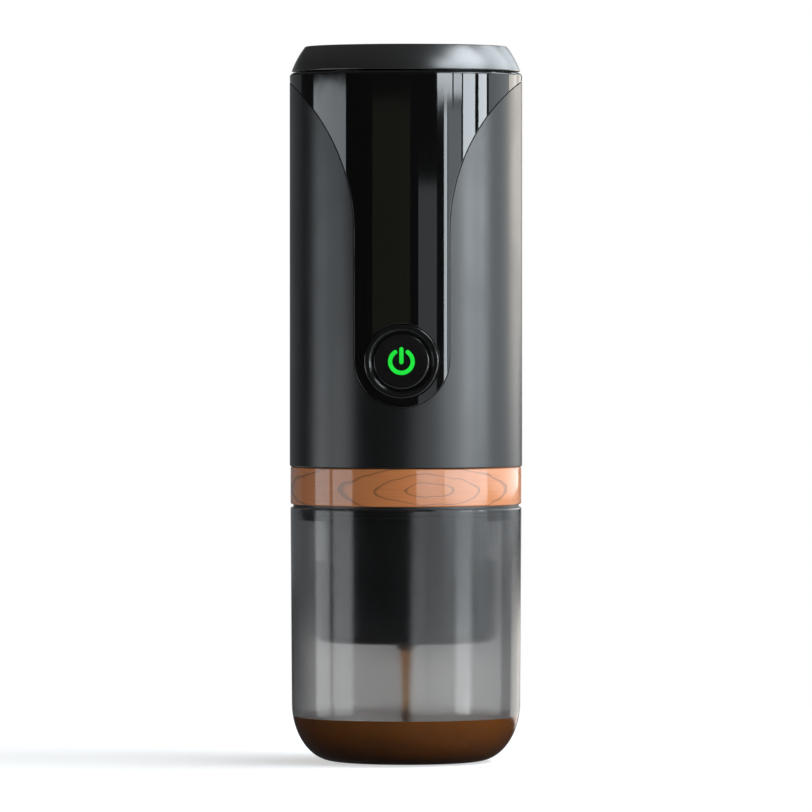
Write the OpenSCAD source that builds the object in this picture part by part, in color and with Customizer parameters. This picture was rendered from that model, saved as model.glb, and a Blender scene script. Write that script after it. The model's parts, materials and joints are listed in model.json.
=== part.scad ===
// Portable self-heating coffee machine. A screw lid closes a heated water tank at the top, a motor and
// a gear pump press the water down through a basket of coffee, and a clear cup pushes on from below.
// Millimetres, +Z up. The origin is the centre of the cup's foot, and the power button faces -Y.

/* [Body casing] */
// Outside diameter of the body
body_d = 72; // [72:0.5:84]
// Height of the body casing
shell_h = 121.4; // [112:0.2:150]
// Wall of the body casing
shell_wall = 2.4; // [1.8:0.1:2.4]
// Chamfer on the casing's lower edge
shell_chamfer = 0.4; // [0.2:0.1:0.8]
// Thickness of the ledge that carries the tank's flange
ledge_t = 2.4; // [1.6:0.2:4]
// Height of a screw boss
boss_h = 8.5; // [6:0.5:12]

/* [Front panel] */
// Thickness of the gloss panel
fascia_t = 1.2; // [0.8:0.1:1.4]
// Width of the panel's narrow strip
strip_w = 29.4; // [27:0.2:34]
// How far the middle of the strip's round end lies above the button's centre
tip_rise = 0.5; // [0:0.1:1.5]
// Radius of the arcs that flare the strip out to the full width
flare_r = 62; // [48:1:80]
// Height of the panel's ring round the top of the body
fascia_ring_h = 2.4; // [1.6:0.2:5]
// Rounding of the panel's top edge
fascia_round = 1; // [0.4:0.1:1.1]
// Seam between the panel and the casing
fascia_seam = 0.12; // [0.05:0.01:0.3]
// Film of glue behind the panel
glue_gap = 0.05; // [0.02:0.01:0.1]

/* [Power button] */
// Height of the button's centre above the casing's lower edge
button_rise = 32.8; // [30:0.2:44]
// Outside diameter of the bezel
bezel_d = 22.8; // [21.6:0.2:25]
// Depth of the bezel from front to back
bezel_depth = 4.5; // [4:0.1:5]
// Thickness of the bezel's front lip
bezel_lip = 2; // [1.6:0.1:2.2]
// Chamfer on the bezel's front edge
bezel_chamfer = 0.5; // [0.2:0.1:0.8]
// Diameter of the button
button_d = 17.3; // [14:0.1:17.6]
// How far the button sits behind the bezel's front
button_recess = 0.3; // [0.1:0.1:0.6]
// Thickness of the button's cap
button_t = 3.2; // [3:0.1:3.6]
// Thickness of the flange that keeps the button in
button_flange_t = 1.2; // [0.8:0.1:1.2]
// Width of that flange beyond the button
button_flange_w = 0.95; // [0.6:0.05:1]
// Radius of the button's stem
stem_r = 2.2; // [1.6:0.1:3]
// How far the button travels
button_travel = 1.2; // [0.6:0.1:1.2]
// Outside diameter of the power symbol
symbol_d = 8.2; // [6:0.2:11]
// Line width of the power symbol
symbol_line = 1.3; // [0.8:0.1:1.8]
// Half of the symbol's open angle
symbol_gap_deg = 33; // [25:1:50]
// How far the symbol's bar reaches below the symbol's middle
symbol_bar_drop = 0.8; // [0:0.1:1.2]
// Depth of the symbol's light guide
symbol_t = 0.6; // [0.4:0.1:1]

/* [Wood band] */
// Height of the band
band_h = 11.6; // [9:0.2:16]
// How far the band sits inside the body's outline
band_inset = 0.2; // [0:0.05:0.4]
// Wall of the band
band_wall = 2; // [1.6:0.1:2.2]
// Chamfer on the band's edges
band_chamfer = 0.3; // [0.1:0.05:0.6]

/* [Cup] */
// Height of the cup
cup_h = 78.8; // [74:0.2:100]
// Outside diameter of the cup at its rim
cup_rim_d = 71.6; // [70.8:0.2:72]
// How much the cup's radius shrinks towards its foot
cup_draft = 0.4; // [0.2:0.1:1.2]
// Wall of the cup
cup_wall = 2; // [1.6:0.1:2.2]
// Thickness of the cup's floor
cup_floor = 2.8; // [2:0.1:4]
// Width of the rounded corner at the foot
cup_corner_w = 13; // [8:0.5:16]
// Height of the rounded corner at the foot
cup_corner_h = 18; // [12:0.5:24]
// Diameter of the hollow under the foot
cup_foot_d = 34; // [20:1:36]
// Depth of the hollow under the foot
cup_foot_rise = 0.8; // [0.4:0.1:1.2]
// Rounding of the rim
cup_rim_round = 0.6; // [0.3:0.1:0.8]

/* [Lid] */
// Height of the lid
lid_h = 8; // [7:0.2:14]
// Diameter of the lid's lower edge
lid_base_d = 70; // [69:0.2:72]
// Diameter of the lid's top edge
lid_top_d = 61.4; // [59:0.2:63]
// Radius of the lid's bulged side
lid_side_r = 14; // [12:0.5:40]
// Thickness of the lid's top
lid_top_t = 2.4; // [1.6:0.1:3]
// Rounding of the lid's top edge
lid_round = 1; // [0.4:0.1:1.4]
// Seam between the lid and the body
lid_seam = 0.5; // [0.3:0.1:1]
// Outside diameter of the lid's threaded skirt
skirt_d = 56; // [55:0.2:57]
// Wall of the skirt
skirt_wall = 1.6; // [1.2:0.1:2]
// Depth of the skirt below the lid
skirt_h = 7.1; // [6.8:0.1:7.4]
// Thickness of the lid's inner web
lid_web_t = 1.6; // [1.2:0.1:2]
// Thickness of the seal disc
disc_t = 1.5; // [1.2:0.1:1.7]
// Radius of the seal disc's stud
stud_r = 3; // [2:0.1:4]
// Thickness of the clip on the stud
clip_t = 0.8; // [0.6:0.1:1]
// Width of the clip round the stud
clip_w = 2.6; // [1.6:0.1:4]
// Depth of the clip's groove
clip_groove = 0.4; // [0.2:0.1:0.6]
// Thickness of the lid's gasket
lid_gasket_t = 1; // [0.6:0.1:1.2]
// How far the lid's gasket reaches inside the tank's rim
lid_gasket_lap = 1.2; // [0.6:0.1:2]

/* [Threads] */
// Rise of a thread in one turn
thread_lead = 24; // [18:1:36]
// Number of starts
thread_starts = 3; // [2:1:4]
// Height of a thread's ridge
thread_t = 1.4; // [1:0.1:1.6]
// Depth of a thread's ridge
thread_depth = 0.8; // [0.5:0.1:0.9]
// Slope of a ridge's flanks
thread_flank = 0.25; // [0.1:0.05:0.4]
// Play between two ridges
thread_play = 0.3; // [0.2:0.05:0.4]
// Rise along an inner ridge
ridge_rise_in = 2.2; // [1.6:0.1:2.6]
// Rise along an outer ridge
ridge_rise_out = 3; // [2:0.1:3.4]

/* [Water tank] */
// Inside diameter of the tank
tank_d = 53; // [48:0.5:54]
// Wall of the tank
tank_wall = 0.8; // [0.5:0.1:1.2]
// Inside corner radius at the tank's floor
tank_corner = 4; // [2:0.5:6]
// Width of the tank's flange beyond its wall
tank_flange_w = 5; // [4.6:0.1:5.2]
// Height of the threaded collar
collar_h = 9.5; // [9.4:0.1:10]
// Space between the collar's top and the casing's top
collar_drop = 0.5; // [0.4:0.1:1]
// Diameter of the heater plate
heater_d = 44; // [30:1:44]
// Thickness of the heater plate
heater_t = 4; // [3:0.5:6]
// Room under the heater plate
heater_room = 4.6; // [4.6:0.2:8]
// Radius of the thermostat
thermostat_r = 5; // [3:0.5:6]
// Distance of the thermostat from the axis
thermostat_out = 10; // [8:0.5:14]
// Direction of the thermostat from the axis
thermostat_angle = 200; // [180:5:250]

/* [Battery] */
// Diameter of a cell with its sleeve
cell_d = 18.4; // [17:0.1:18.4]
// Height of a cell
cell_h = 65; // [60:0.5:70]
// Gap round a cell
cell_gap = 0.2; // [0.1:0.05:0.3]
// Radius of a cell's positive cap
cell_cap_r = 3; // [2:0.1:4]
// Height of a cell's positive cap
cell_cap_h = 0.8; // [0.4:0.1:1.5]
// Thickness of a cell strap
strap_t = 0.3; // [0.2:0.05:0.5]
// Width of a cell strap
strap_w = 4; // [3:0.2:5]
// Thickness of the battery tray
tray_t = 2; // [1.6:0.1:3]
// Thickness of the upper deck
deck_t = 2; // [1.6:0.1:3]
// Radius of a frame post
post_r = 3; // [2.4:0.1:3.4]

/* [Motor] */
// Diameter of the motor
motor_d = 24.4; // [20:0.2:25]
// Height of the motor
motor_h = 32; // [26:0.5:38]
// Wall of the motor's can
motor_wall = 0.8; // [0.6:0.1:1.2]
// Thickness of the motor's end plates
motor_plate_t = 1.5; // [1:0.1:2]
// Diameter of the motor's shaft
shaft_d = 2; // [1.5:0.1:3]
// Radius of a shaft bush
bush_r = 2.6; // [2.2:0.1:3.4]
// Length of a shaft bush
bush_h = 3; // [2:0.1:4]
// Thickness of the magnets
magnet_t = 1.9; // [1.2:0.1:2.4]
// Arc of one magnet
magnet_deg = 130; // [100:5:150]
// Gap between the rotor and the magnets
air_gap = 0.5; // [0.3:0.1:0.8]
// Space above and below the rotor
rotor_room = 5; // [4.4:0.2:7]
// Width of a slot in the rotor
rotor_slot = 2; // [1:0.2:3]

/* [Pump] */
// Direction of the pump's second gear
pump_angle = 30; // [24:1:36]
// Module of the gears
gear_module = 1; // [0.8:0.05:1.05]
// Number of teeth, an odd number so that both gears start in mesh
gear_teeth = 11; // [9:2:11]
// Height of the gears
gear_h = 8; // [5:0.5:8]
// Pressure angle of the teeth
gear_pressure = 28; // [26:1:30]
// Height of a tooth above the pitch circle, in modules
gear_addendum = 0.9; // [0.8:0.05:0.95]
// Depth of a tooth below the pitch circle, in modules
gear_dedendum = 1.2; // [1.1:0.05:1.3]
// Play between the teeth
gear_backlash = 0.14; // [0.1:0.02:0.3]
// Running gap round the gears
gear_gap = 0.15; // [0.1:0.01:0.2]
// Wall round the gears
pump_wall = 3.2; // [2.8:0.1:3.3]
// Floor of the pump's housing
pump_floor = 3.4; // [2.6:0.1:4]
// Thickness of the pump's cover
pump_cover_t = 3; // [2.6:0.1:4]
// Radius of the idler's pin
idler_pin_r = 1.5; // [1:0.1:2]
// Radius of the pump's ports
pump_port_r = 2; // [1.4:0.1:2.2]
// Half width of the channel from the hose to the gears
inlet_half_w = 1.2; // [0.8:0.1:1.4]
// Outside diameter of the suction hose
hose_d = 5; // [4.6:0.1:5.4]
// Wall of the suction hose
hose_wall = 0.6; // [0.4:0.1:0.8]
// Wall of a hose spigot
spigot_wall = 0.7; // [0.5:0.05:0.8]
// Length of a hose spigot
spigot_len = 5.5; // [4:0.5:8]
// Space between the motor and the hose
hose_room = 1.6; // [1.2:0.1:2]
// Turn of the hose from the pump's direction
hose_turn = 18; // [15:1:20]

/* [Brew head] */
// Depth of the bulkhead's top below the casing's lower edge
bulkhead_drop = 2.2; // [1.6:0.1:3]
// Thickness of the bulkhead
bulkhead_t = 3; // [2.4:0.1:3.6]
// Height of the collar that registers in the casing
register_h = 3.8; // [3:0.1:4]
// Wall of that collar
register_wall = 1.85; // [1.4:0.05:1.9]
// Thickness of the flange between the band and the cup
flange_t = 0.8; // [0.6:0.1:1.2]
// How far the flange sits inside the cup's rim
flange_inset = 0.9; // [0.6:0.1:1.2]
// Depth of the spigot inside the cup
cup_spigot_h = 4; // [4:0.2:8]
// Gap between the spigot and the cup
cup_spigot_gap = 0.6; // [0.5:0.05:0.7]
// Wall of the bulkhead's skirt
base_wall = 2.2; // [2:0.1:2.6]
// Outside diameter of the threaded neck
neck_d = 50.4; // [50.2:0.2:52]
// Length of the neck below the bulkhead
neck_h = 30; // [30:0.2:34]
// Wall of the neck round the brew chamber
neck_wall = 2.8; // [2.4:0.1:3]
// Wall of the neck round the pump well
well_wall = 3.3; // [2.8:0.1:3.4]
// Depth of the pump well
well_depth = 22; // [21:0.2:22.4]
// Thickness of the well's floor
well_floor_t = 3; // [2.4:0.1:3.2]
// Thickness of the brew gasket
group_gasket_t = 1.2; // [0.8:0.1:1.6]
// Thickness of the shower screen
shower_t = 0.8; // [0.5:0.1:1]
// How far the shower screen sits above the neck's end
shower_rise = 1; // [0.6:0.1:1.4]
// Radius of a hole in the shower screen
shower_hole_r = 0.7; // [0.4:0.05:0.8]
// Number of rings of holes in the shower screen
shower_rings = 4; // [2:1:4]
// Outside diameter of the filter basket
basket_d = 45.8; // [42:0.2:46]
// Wall of the filter basket
basket_wall = 0.6; // [0.4:0.1:0.8]
// Thickness of the basket's flange
basket_flange_t = 0.8; // [0.6:0.1:1.2]
// Width of the basket's flange beyond the neck
basket_flange_w = 0.4; // [0.2:0.1:0.6]
// Depth of the filter basket
basket_h = 12.8; // [10:0.2:13]
// Radius of a hole in the basket's floor
basket_hole_r = 0.6; // [0.3:0.05:0.7]
// Number of rings of holes in the basket's floor
basket_rings = 5; // [3:1:5]
// Wall of the basket holder round its thread
holder_wall = 1.7; // [1.4:0.1:2.4]
// Height of the holder's threaded part
holder_thread_h = 8; // [7.6:0.2:9]
// Height of the holder below its shelf
holder_cup_h = 17; // [17:0.2:20]
// Rounding of the holder's lower edge
holder_round = 3; // [1:0.5:4]
// Thickness of the holder's floor at its wall
holder_floor = 3.2; // [3:0.1:3.4]
// Fall of the holder's floor towards the spout
holder_fall = 1.4; // [0.8:0.1:1.6]
// Outside radius of the spout's root
spout_root_r = 6; // [5:0.2:8]
// Outside radius of the spout's tip
spout_tip_r = 2.7; // [2.6:0.1:3]
// Wall of the spout
spout_wall = 0.7; // [0.5:0.1:0.8]
// Length of the spout below the holder
spout_len = 2.6; // [2:0.2:5]
// Radius of the ring that grips the cup, across its section
seal_section_r = 0.6; // [0.5:0.05:0.65]
// Gap between that ring and the cup
seal_gap = 0.2; // [0.1:0.02:0.3]

/* [Outlet valve] */
// Radius of the valve's seat hole
valve_seat_r = 1.8; // [1.2:0.1:2]
// Radius of the valve's poppet
poppet_r = 2.7; // [2.4:0.1:2.8]
// Thickness of the poppet
poppet_t = 1.2; // [0.8:0.1:1.4]
// Wall of the valve's cage
cage_wall = 0.8; // [0.6:0.1:0.9]
// Length of the valve's cage
cage_h = 5.3; // [4.8:0.1:5.4]
// Radius of the hole in the cage's end
cage_hole_r = 0.9; // [0.5:0.1:1]
// Diameter of the spring's wire
spring_wire = 0.4; // [0.3:0.05:0.5]
// Radius of the spring's coil
spring_r = 1.9; // [1.5:0.1:2]
// Number of the spring's turns
spring_turns = 4; // [3:1:5]

/* [Electronics] */
// Distance from the body's front to the control board's front
board_back = 11.1; // [10.8:0.1:11.6]
// Thickness of a circuit board
board_t = 1.5; // [1:0.1:1.6]
// Width of the control board
board_w = 24; // [20:0.5:24]
// Height of the control board
board_h = 45; // [40:1:46]
// Height of the control board's lower edge above the casing's lower edge
board_rise = 13.8; // [13:0.2:16]
// Gap behind the control board
standoff_h = 1; // [0.6:0.1:1.4]
// Radius of a standoff
standoff_r = 2.2; // [1.8:0.1:2.4]
// Thickness of the board carrier
carrier_t = 2; // [1.4:0.1:2.2]
// Width of the board carrier
carrier_w = 26; // [24:0.5:27]
// Width of the tact switch
switch_w = 6; // [4:0.5:7]
// Height of the tact switch
switch_h = 3.4; // [2.5:0.1:3.5]
// Radius of the switch's plunger
plunger_r = 1.7; // [1:0.1:2]
// Height of the switch's plunger
plunger_h = 1; // [0.6:0.1:1.1]
// Width of an indicator lamp
led_w = 1.6; // [1:0.1:2]
// Height of an indicator lamp
led_h = 0.8; // [0.4:0.1:1]
// Width of the power board
power_w = 22; // [16:0.5:22]
// Gap between the motor and the power board
power_room = 4; // [3:0.5:8]
// Reach of a lug that holds the power board
lug_reach = 4; // [3:0.2:6]
// Thickness of a lug
lug_t = 1.6; // [1.2:0.1:2]
// Width of a lug
lug_w = 3; // [2:0.2:4]
// Diameter of a lead
lead_d = 1.2; // [0.8:0.1:1.4]
// Length of a lead along the power board
lead_len = 8; // [5:0.5:12]
// Distance of a heater lead from the middle
heater_lead_x = 4.4; // [3:0.1:5]
// Distance of a motor lead from the middle
motor_lead_x = 7.3; // [6.4:0.1:7.6]

/* [Charging socket] */
// Width of the socket
port_w = 9; // [9:0.1:10]
// Height of the socket
port_h = 3.2; // [3.1:0.05:3.6]
// Length of the socket
port_len = 8.4; // [7.4:0.1:9]
// Wall of the socket
port_wall = 0.35; // [0.2:0.05:0.4]
// Thickness of the socket's rear wall
port_rear_t = 1.4; // [0.8:0.1:2]
// Width of the tongue in the socket
tongue_w = 6.7; // [6:0.1:7]
// Thickness of the tongue in the socket
tongue_t = 0.8; // [0.6:0.05:0.9]
// How far the socket's mouth sits inside the body's outline
port_recess = 1.6; // [1.5:0.05:1.8]
// Width of the socket's board
port_board_w = 14; // [12:0.5:18]
// Depth of the socket's board
port_board_l = 10.5; // [9:0.5:11]
// Half width of the cover
flap_half_w = 7.8; // [7:0.1:8.4]
// Half height of the cover
flap_half_h = 4.2; // [3.8:0.1:4.6]
// Depth of the flat that the cover lies on
flap_seat = 1.4; // [1.3:0.05:1.45]
// Radius of the cover's hinge bead
flap_bead_r = 0.7; // [0.5:0.05:0.75]
// Length of the cover's lip
flap_lip = 1.2; // [0.8:0.1:1.4]
// Gap round the cover's lip
flap_lip_gap = 0.4; // [0.35:0.05:0.5]

/* [Screws and clearances] */
// Radius of a large screw's shank
screw_r = 1.2; // [1:0.05:1.3]
// Radius of a small screw's shank
small_screw_r = 0.8; // [0.6:0.05:0.85]
// Ratio of a screw's head to its shank
screw_head = 1.8; // [1.6:0.1:1.9]
// Height of a screw's head
screw_head_h = 1.4; // [1:0.1:1.6]
// Length of a large screw's grip
screw_grip = 6; // [4:0.5:7]
// Gap round a screw's shank
screw_gap = 0.06; // [0.03:0.01:0.1]
// Clearance between pieces that are fitted together
fit = 0.15; // [0.1:0.01:0.18]
// Clearance between pieces that move past each other
run_gap = 0.3; // [0.25:0.01:0.35]
// Clearance round a turning shaft
shaft_gap = 0.04; // [0.02:0.01:0.08]

/* [Hidden] */
$fn = 72;
// How far a cutting shape runs past the face that it opens, on a small face and on an outside one
over = 0.05;
cut = 1;
// Steps round a large circle that a thin piece follows
fine_steps = 360;
// Points along a round stretch of an outline, on a large one and on a small one
arc_steps = 12;
edge_steps = 6;
// Holes in the first ring of a screen, and how many each further ring adds
ring_holes = 6;
// Sections along a thread's ridge
ridge_steps = 10;

// Heights, from the foot upwards
band_z = cup_h + flange_t;
shell_z = band_z + band_h;
shell_top = shell_z + shell_h;
lid_z = shell_top + lid_seam;
lid_top = lid_z + lid_h;

// Radii of the casing, the band and the cup
body_r = body_d / 2;
shell_ri = body_r - shell_wall;
band_r = body_r - band_inset;
band_ri = band_r - band_wall;
cup_rim_r = cup_rim_d / 2;
cup_rim_ri = cup_rim_r - cup_wall;
cup_low_r = cup_rim_r - cup_draft;

// Base collar
seat_r = band_ri - fit;
skirt_ri = seat_r - base_wall;
register_r = shell_ri - fit;
register_ri = register_r - register_wall;
base_spigot_r = cup_rim_ri - cup_spigot_gap;
base_spigot_ri = base_spigot_r - base_wall;
base_spigot_z = cup_h - cup_spigot_h;
bulkhead_top = shell_z - bulkhead_drop;
bulkhead_z = bulkhead_top - bulkhead_t;
neck_r = neck_d / 2;
neck_z = bulkhead_z - neck_h;
chamber_r = neck_r - neck_wall;
well_r = neck_r - well_wall;
well_z = bulkhead_top - well_depth;
plenum_z = well_z - well_floor_t;
seal_r = cup_rim_ri - seal_gap - seal_section_r;
seal_z = cup_h - cup_spigot_h / 2;

// Screws
boss_angles = [30, 150, 270];
boss_z = shell_z + register_h + run_gap;
screw_head_r = screw_r * screw_head;
boss_out = skirt_ri - screw_head_r - fit;
boss_r = shell_ri - boss_out + fit;
small_head_r = small_screw_r * screw_head;
screw_hole_r = screw_r + screw_gap;
small_hole_r = small_screw_r + screw_gap;

// Battery and its frame
cell_r = cell_d / 2;
cell_out = register_ri - cell_gap - cell_r;
cell_turn = 120;
cell_angles = [for (i = [0 : 2]) 90 + cell_turn * i];
tray_z = bulkhead_top;
tray_top = tray_z + tray_t;
cell_z = tray_top + strap_t;
strap_ri = cell_out - cell_r + cell_gap;
strap_lap = 10;
strap_deg = cell_turn + 2 * strap_lap;
deck_z = cell_z + cell_h + strap_t + shaft_gap;
deck_top = deck_z + deck_t;
deck_r = shell_ri - run_gap;
post_angles = [50, 130];
post_out = cell_out + strap_w / 2 + run_gap + post_r;

// Motor and pump
motor_r = motor_d / 2;
shaft_r = shaft_d / 2;
pitch_r = gear_module * gear_teeth / 2;
base_circle_r = pitch_r * cos(gear_pressure);
tip_r = pitch_r + gear_addendum * gear_module;
root_r = pitch_r - gear_dedendum * gear_module;
gear_space = 2 * pitch_r;
gear_bore_r = tip_r + gear_gap;
pump_r = pitch_r + gear_bore_r + pump_wall;
pump_screw_out = pump_r - small_head_r - fit;
pump_screw_angles = [60, 180, 300];
pump_z = well_z + glue_gap;
gear_z = pump_z + pump_floor + gear_gap;
pump_top = gear_z + gear_h + gear_gap;
motor_z = pump_top + pump_cover_t;
motor_top = motor_z + motor_h;
rotor_z = motor_z + rotor_room;
rotor_top = motor_top - rotor_room;
magnet_r = motor_r - motor_wall - fit;
rotor_r = magnet_r - magnet_t - air_gap;
port_side = pitch_r;
hose_r = hose_d / 2;
hose_ri = hose_r - hose_wall;
hose_out = motor_r + hose_r + hose_room;
hose_angle = pump_angle - hose_turn;
spigot_r = hose_ri - shaft_gap;
spigot_ri = spigot_r - spigot_wall;

// Tank and its collar
heater_z = deck_top + heater_room;
tank_z = heater_z + heater_t;
tank_r = tank_d / 2;
tank_ro = tank_r + tank_wall;
collar_top = shell_top - collar_drop;
collar_z = collar_top - collar_h;
tank_flange_z = collar_z - tank_wall;
ledge_ri = tank_ro + 2 * run_gap;
ledge_z = tank_flange_z - ledge_t;
skirt_r = skirt_d / 2;
collar_ri = skirt_r + run_gap + thread_depth;
collar_r = shell_ri - fit;
clamp_out = (collar_ri + collar_r) / 2;

// Lid
lid_base_r = lid_base_d / 2;
lid_top_r = lid_top_d / 2;
lid_cavity_r = lid_top_r + run_gap;
skirt_z = lid_z - skirt_h;
skirt_inner_r = skirt_r - skirt_wall;
disc_top = skirt_z - run_gap;
disc_z = disc_top - disc_t;
disc_r = skirt_r - run_gap;
lid_gasket_z = disc_z - lid_gasket_t;
lid_gasket_ri = tank_r - lid_gasket_lap;
web_z = skirt_z + thread_t + ridge_rise_in;
web_top = web_z + lid_web_t;
clip_z = web_top + fit;
clip_top = clip_z + clip_t;
stud_top = clip_top + clip_t;
lid_thread_z = skirt_z + fit;

// Brew parts
holder_thread_r = neck_r + run_gap + thread_depth;
holder_r = holder_thread_r + holder_wall;
basket_ro = basket_d / 2;
basket_ri = basket_ro - basket_wall;
basket_flange_r = neck_r + basket_flange_w;
basket_top = neck_z - group_gasket_t;
shelf_z = basket_top - basket_flange_t;
basket_z = basket_top - basket_h;
holder_top = shelf_z + holder_thread_h;
holder_z = shelf_z - holder_cup_h;
holder_bore_r = basket_ro + run_gap;
spout_bore_r = spout_tip_r - spout_wall;
spout_z = holder_z - spout_len;
neck_thread_z = neck_z + fit;
shower_z = neck_z + shower_rise;
shower_pitch = (chamber_r - screw_head_r) / (shower_rings + 1);
basket_pitch = basket_ri / (basket_rings + 1);

// Outlet valve
valve_at = [pitch_r, port_side];
cage_ri = poppet_r + run_gap;
cage_r = cage_ri + cage_wall;
cage_z = plenum_z - cage_h;
poppet_z = plenum_z - poppet_t;
spring_z = cage_z + cage_wall;

// Button and electronics, as distances towards the front
button_z = shell_z + button_rise;
bezel_r = bezel_d / 2;
button_r = button_d / 2;
bezel_front = body_r;
bezel_back = bezel_front - bezel_depth;
button_front = bezel_front - button_recess;
button_back = button_front - button_t;
button_bore_r = button_r + run_gap;
flange_bore_r = button_r + button_flange_w + run_gap;
lip_back = bezel_front - bezel_lip;
board_front = body_r - board_back;
board_rear = board_front - board_t;
carrier_front = board_rear - standoff_h;
carrier_rear = carrier_front - carrier_t;
switch_front = board_front + switch_h;
plunger_front = switch_front + plunger_h;
stem_back = plunger_front + button_travel + over;
board_z = shell_z + board_rise;
board_screw_x = board_w / 2 - standoff_r;
board_screw_zs = [board_z + standoff_r, board_z + board_h - standoff_r];
led_x = switch_w / 2 + 2 * led_w;
power_z = motor_top + power_room;

// Panel outline
strip_r = strip_w / 2;
fascia_ring_z = shell_top - fascia_ring_h;
flare_z = fascia_ring_z - sqrt(pow(flare_r, 2) - pow(flare_r + strip_r - body_r, 2));

// Charging socket, behind the tank's underside
port_z = deck_top + board_t + port_h / 2;
port_mouth = body_r - port_recess;
port_back = port_mouth - port_len;
port_board_y = deck_r - board_t;
flap_seat_y = body_r - flap_seat;
flap_axis_z = port_z - flap_half_h;
flap_axis_y = body_r - flap_bead_r - fit;
flap_bead_half_w = flap_half_w / 2;
flap_room = 2 * flap_bead_r;

// Colours
matte_black = [0.09, 0.09, 0.095];
gloss_black = [0.02, 0.02, 0.022];
dark_plastic = [0.06, 0.06, 0.065];
smoke = [0.45, 0.46, 0.47, 0.5];
wood_brown = [0.62, 0.4, 0.28];
steel = [0.72, 0.73, 0.75];
silicone = [0.2, 0.2, 0.21];
board_green = [0.05, 0.3, 0.15];
cell_blue = [0.15, 0.35, 0.7];
lamp_green = [0.15, 0.9, 0.3];
frame_grey = [0.4, 0.4, 0.42];
copper = [0.75, 0.42, 0.25];

// Small shapes
function reverse(list) = [for (i = [len(list) - 1 : -1 : 0]) list[i]];
function polar(r, a) = [r * cos(a), r * sin(a)];
function arc(centre, r, a0, a1, steps = arc_steps) =
    [for (i = [0 : steps]) centre + polar(r, a0 + (a1 - a0) * i / steps)];
function corner(r, z, w, h, steps = 2 * arc_steps) =
    [for (i = [0 : steps]) let (a = 90 * i / steps) [r - w + w * sin(a), z + h - h * cos(a)]];

module disc(r, z0, z1) {
    translate([0, 0, z0]) cylinder(r = r, h = z1 - z0);
}
module ring(ro, ri, z0, z1) {
    difference() {
        disc(ro, z0, z1);
        disc(ri, z0 - over, z1 + over);
    }
}
module round_about(out, angles) {
    for (a = angles) translate([out * cos(a), out * sin(a), 0]) children();
}
module towards_front(z = 0) {
    translate([0, 0, z]) rotate([90, 0, 0]) children();
}
module block(x, y, z) {
    translate([x[0], y[0], z[0]]) cube([x[1] - x[0], y[1] - y[0], z[1] - z[0]]);
}
module hole_rings(r, out, pitch, ring_count, z0, z1) {
    for (k = [1 : ring_count]) {
        count = ring_holes * k;
        for (i = [0 : count - 1])
            rotate(360 * (i + 0.5) / count) translate([pitch * k + out, 0, 0]) disc(r, z0, z1);
    }
}

// One helical ridge. The tip may lie outside the root, for an outer thread, or inside it.
module ridge(root, tip, z, start, rise) {
    sweep = 360 * rise / thread_lead;
    section = [[root, 0], [tip, thread_flank], [tip, thread_t - thread_flank], [root, thread_t]];
    turned = tip > root ? section : reverse(section);
    points = [
        for (i = [0 : ridge_steps]) let (a = start + sweep * i / ridge_steps)
        for (p = turned) [p[0] * cos(a), p[0] * sin(a), z + p[1] + rise * i / ridge_steps]
    ];
    last = 4 * ridge_steps;
    sides = [
        for (i = [0 : ridge_steps - 1]) for (k = [0 : 3])
        let (a = 4 * i + k, b = 4 * i + (k + 1) % 4)
        each [[a, b + 4, a + 4], [a, b, b + 4]]
    ];
    ends = [[0, 2, 1], [0, 3, 2], [last, last + 1, last + 2], [last, last + 2, last + 3]];
    polyhedron(points, concat(sides, ends));
}
module ridges(root, tip, z, rise) {
    for (i = [0 : thread_starts - 1]) ridge(root, tip, z, 360 * i / thread_starts, rise);
}

// A screw that stands on its head at z, pointing up, or hangs from its head, pointing down
module screw(r, head_r, z, length, up) {
    mirror([0, 0, up ? 0 : 1]) translate([0, 0, up ? z : -z]) {
        disc(head_r, -screw_head_h, 0);
        disc(r, -over, length);
    }
}

// Cup
module cup() {
    inner = corner(cup_low_r - cup_wall, cup_floor, cup_corner_w - cup_wall, cup_corner_h - cup_floor);
    outer = corner(cup_low_r, 0, cup_corner_w, cup_corner_h);
    rim = arc([cup_rim_r - cup_rim_round, cup_h - cup_rim_round], cup_rim_round, 0, 90, edge_steps);
    color(smoke) difference() {
        rotate_extrude()
            polygon(concat([[0, 0]], outer, rim, [[cup_rim_ri, cup_h]], reverse(inner), [[0, cup_floor]]));
        disc(cup_foot_d / 2, -over, cup_foot_rise);
    }
}

// Front panel outline, grown all round for the pocket that it lies in
module panel_outline(grow) {
    side = [for (p = arc([strip_r + flare_r, flare_z], flare_r - grow, 180, 90, 2 * arc_steps))
        if (p[0] < body_r + cut) p];
    tip = arc([0, button_z + tip_rise], strip_r + grow, 180, 360, 2 * arc_steps);
    crown = [[body_r + cut, fascia_ring_z], [body_r + cut, shell_top + cut]];
    right = concat(side, crown);
    left = [for (p = reverse(right)) [-p[0], p[1]]];
    polygon(concat(tip, right, left));
}
module panel_zone(grow) {
    disc(body_r + cut, fascia_ring_z - grow, shell_top + cut);
    towards_front() linear_extrude(body_r + cut) panel_outline(grow);
}
module bezel_hole() {
    towards_front(button_z) disc(bezel_r + fit, body_r - 2 * bezel_depth, body_r + cut);
}
module socket_opening() {
    half_w = port_w / 2 + run_gap;
    half_h = port_h / 2 + run_gap;
    block([-half_w, half_w], [port_back, body_r + cut], [port_z - half_h, port_z + half_h]);
    block([-flap_half_w - fit, flap_half_w + fit], [flap_seat_y, body_r + cut],
        [flap_axis_z - flap_room, port_z + flap_half_h + fit]);
    flap_bead(flap_bead_r + fit, flap_bead_half_w + fit);
}
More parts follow.
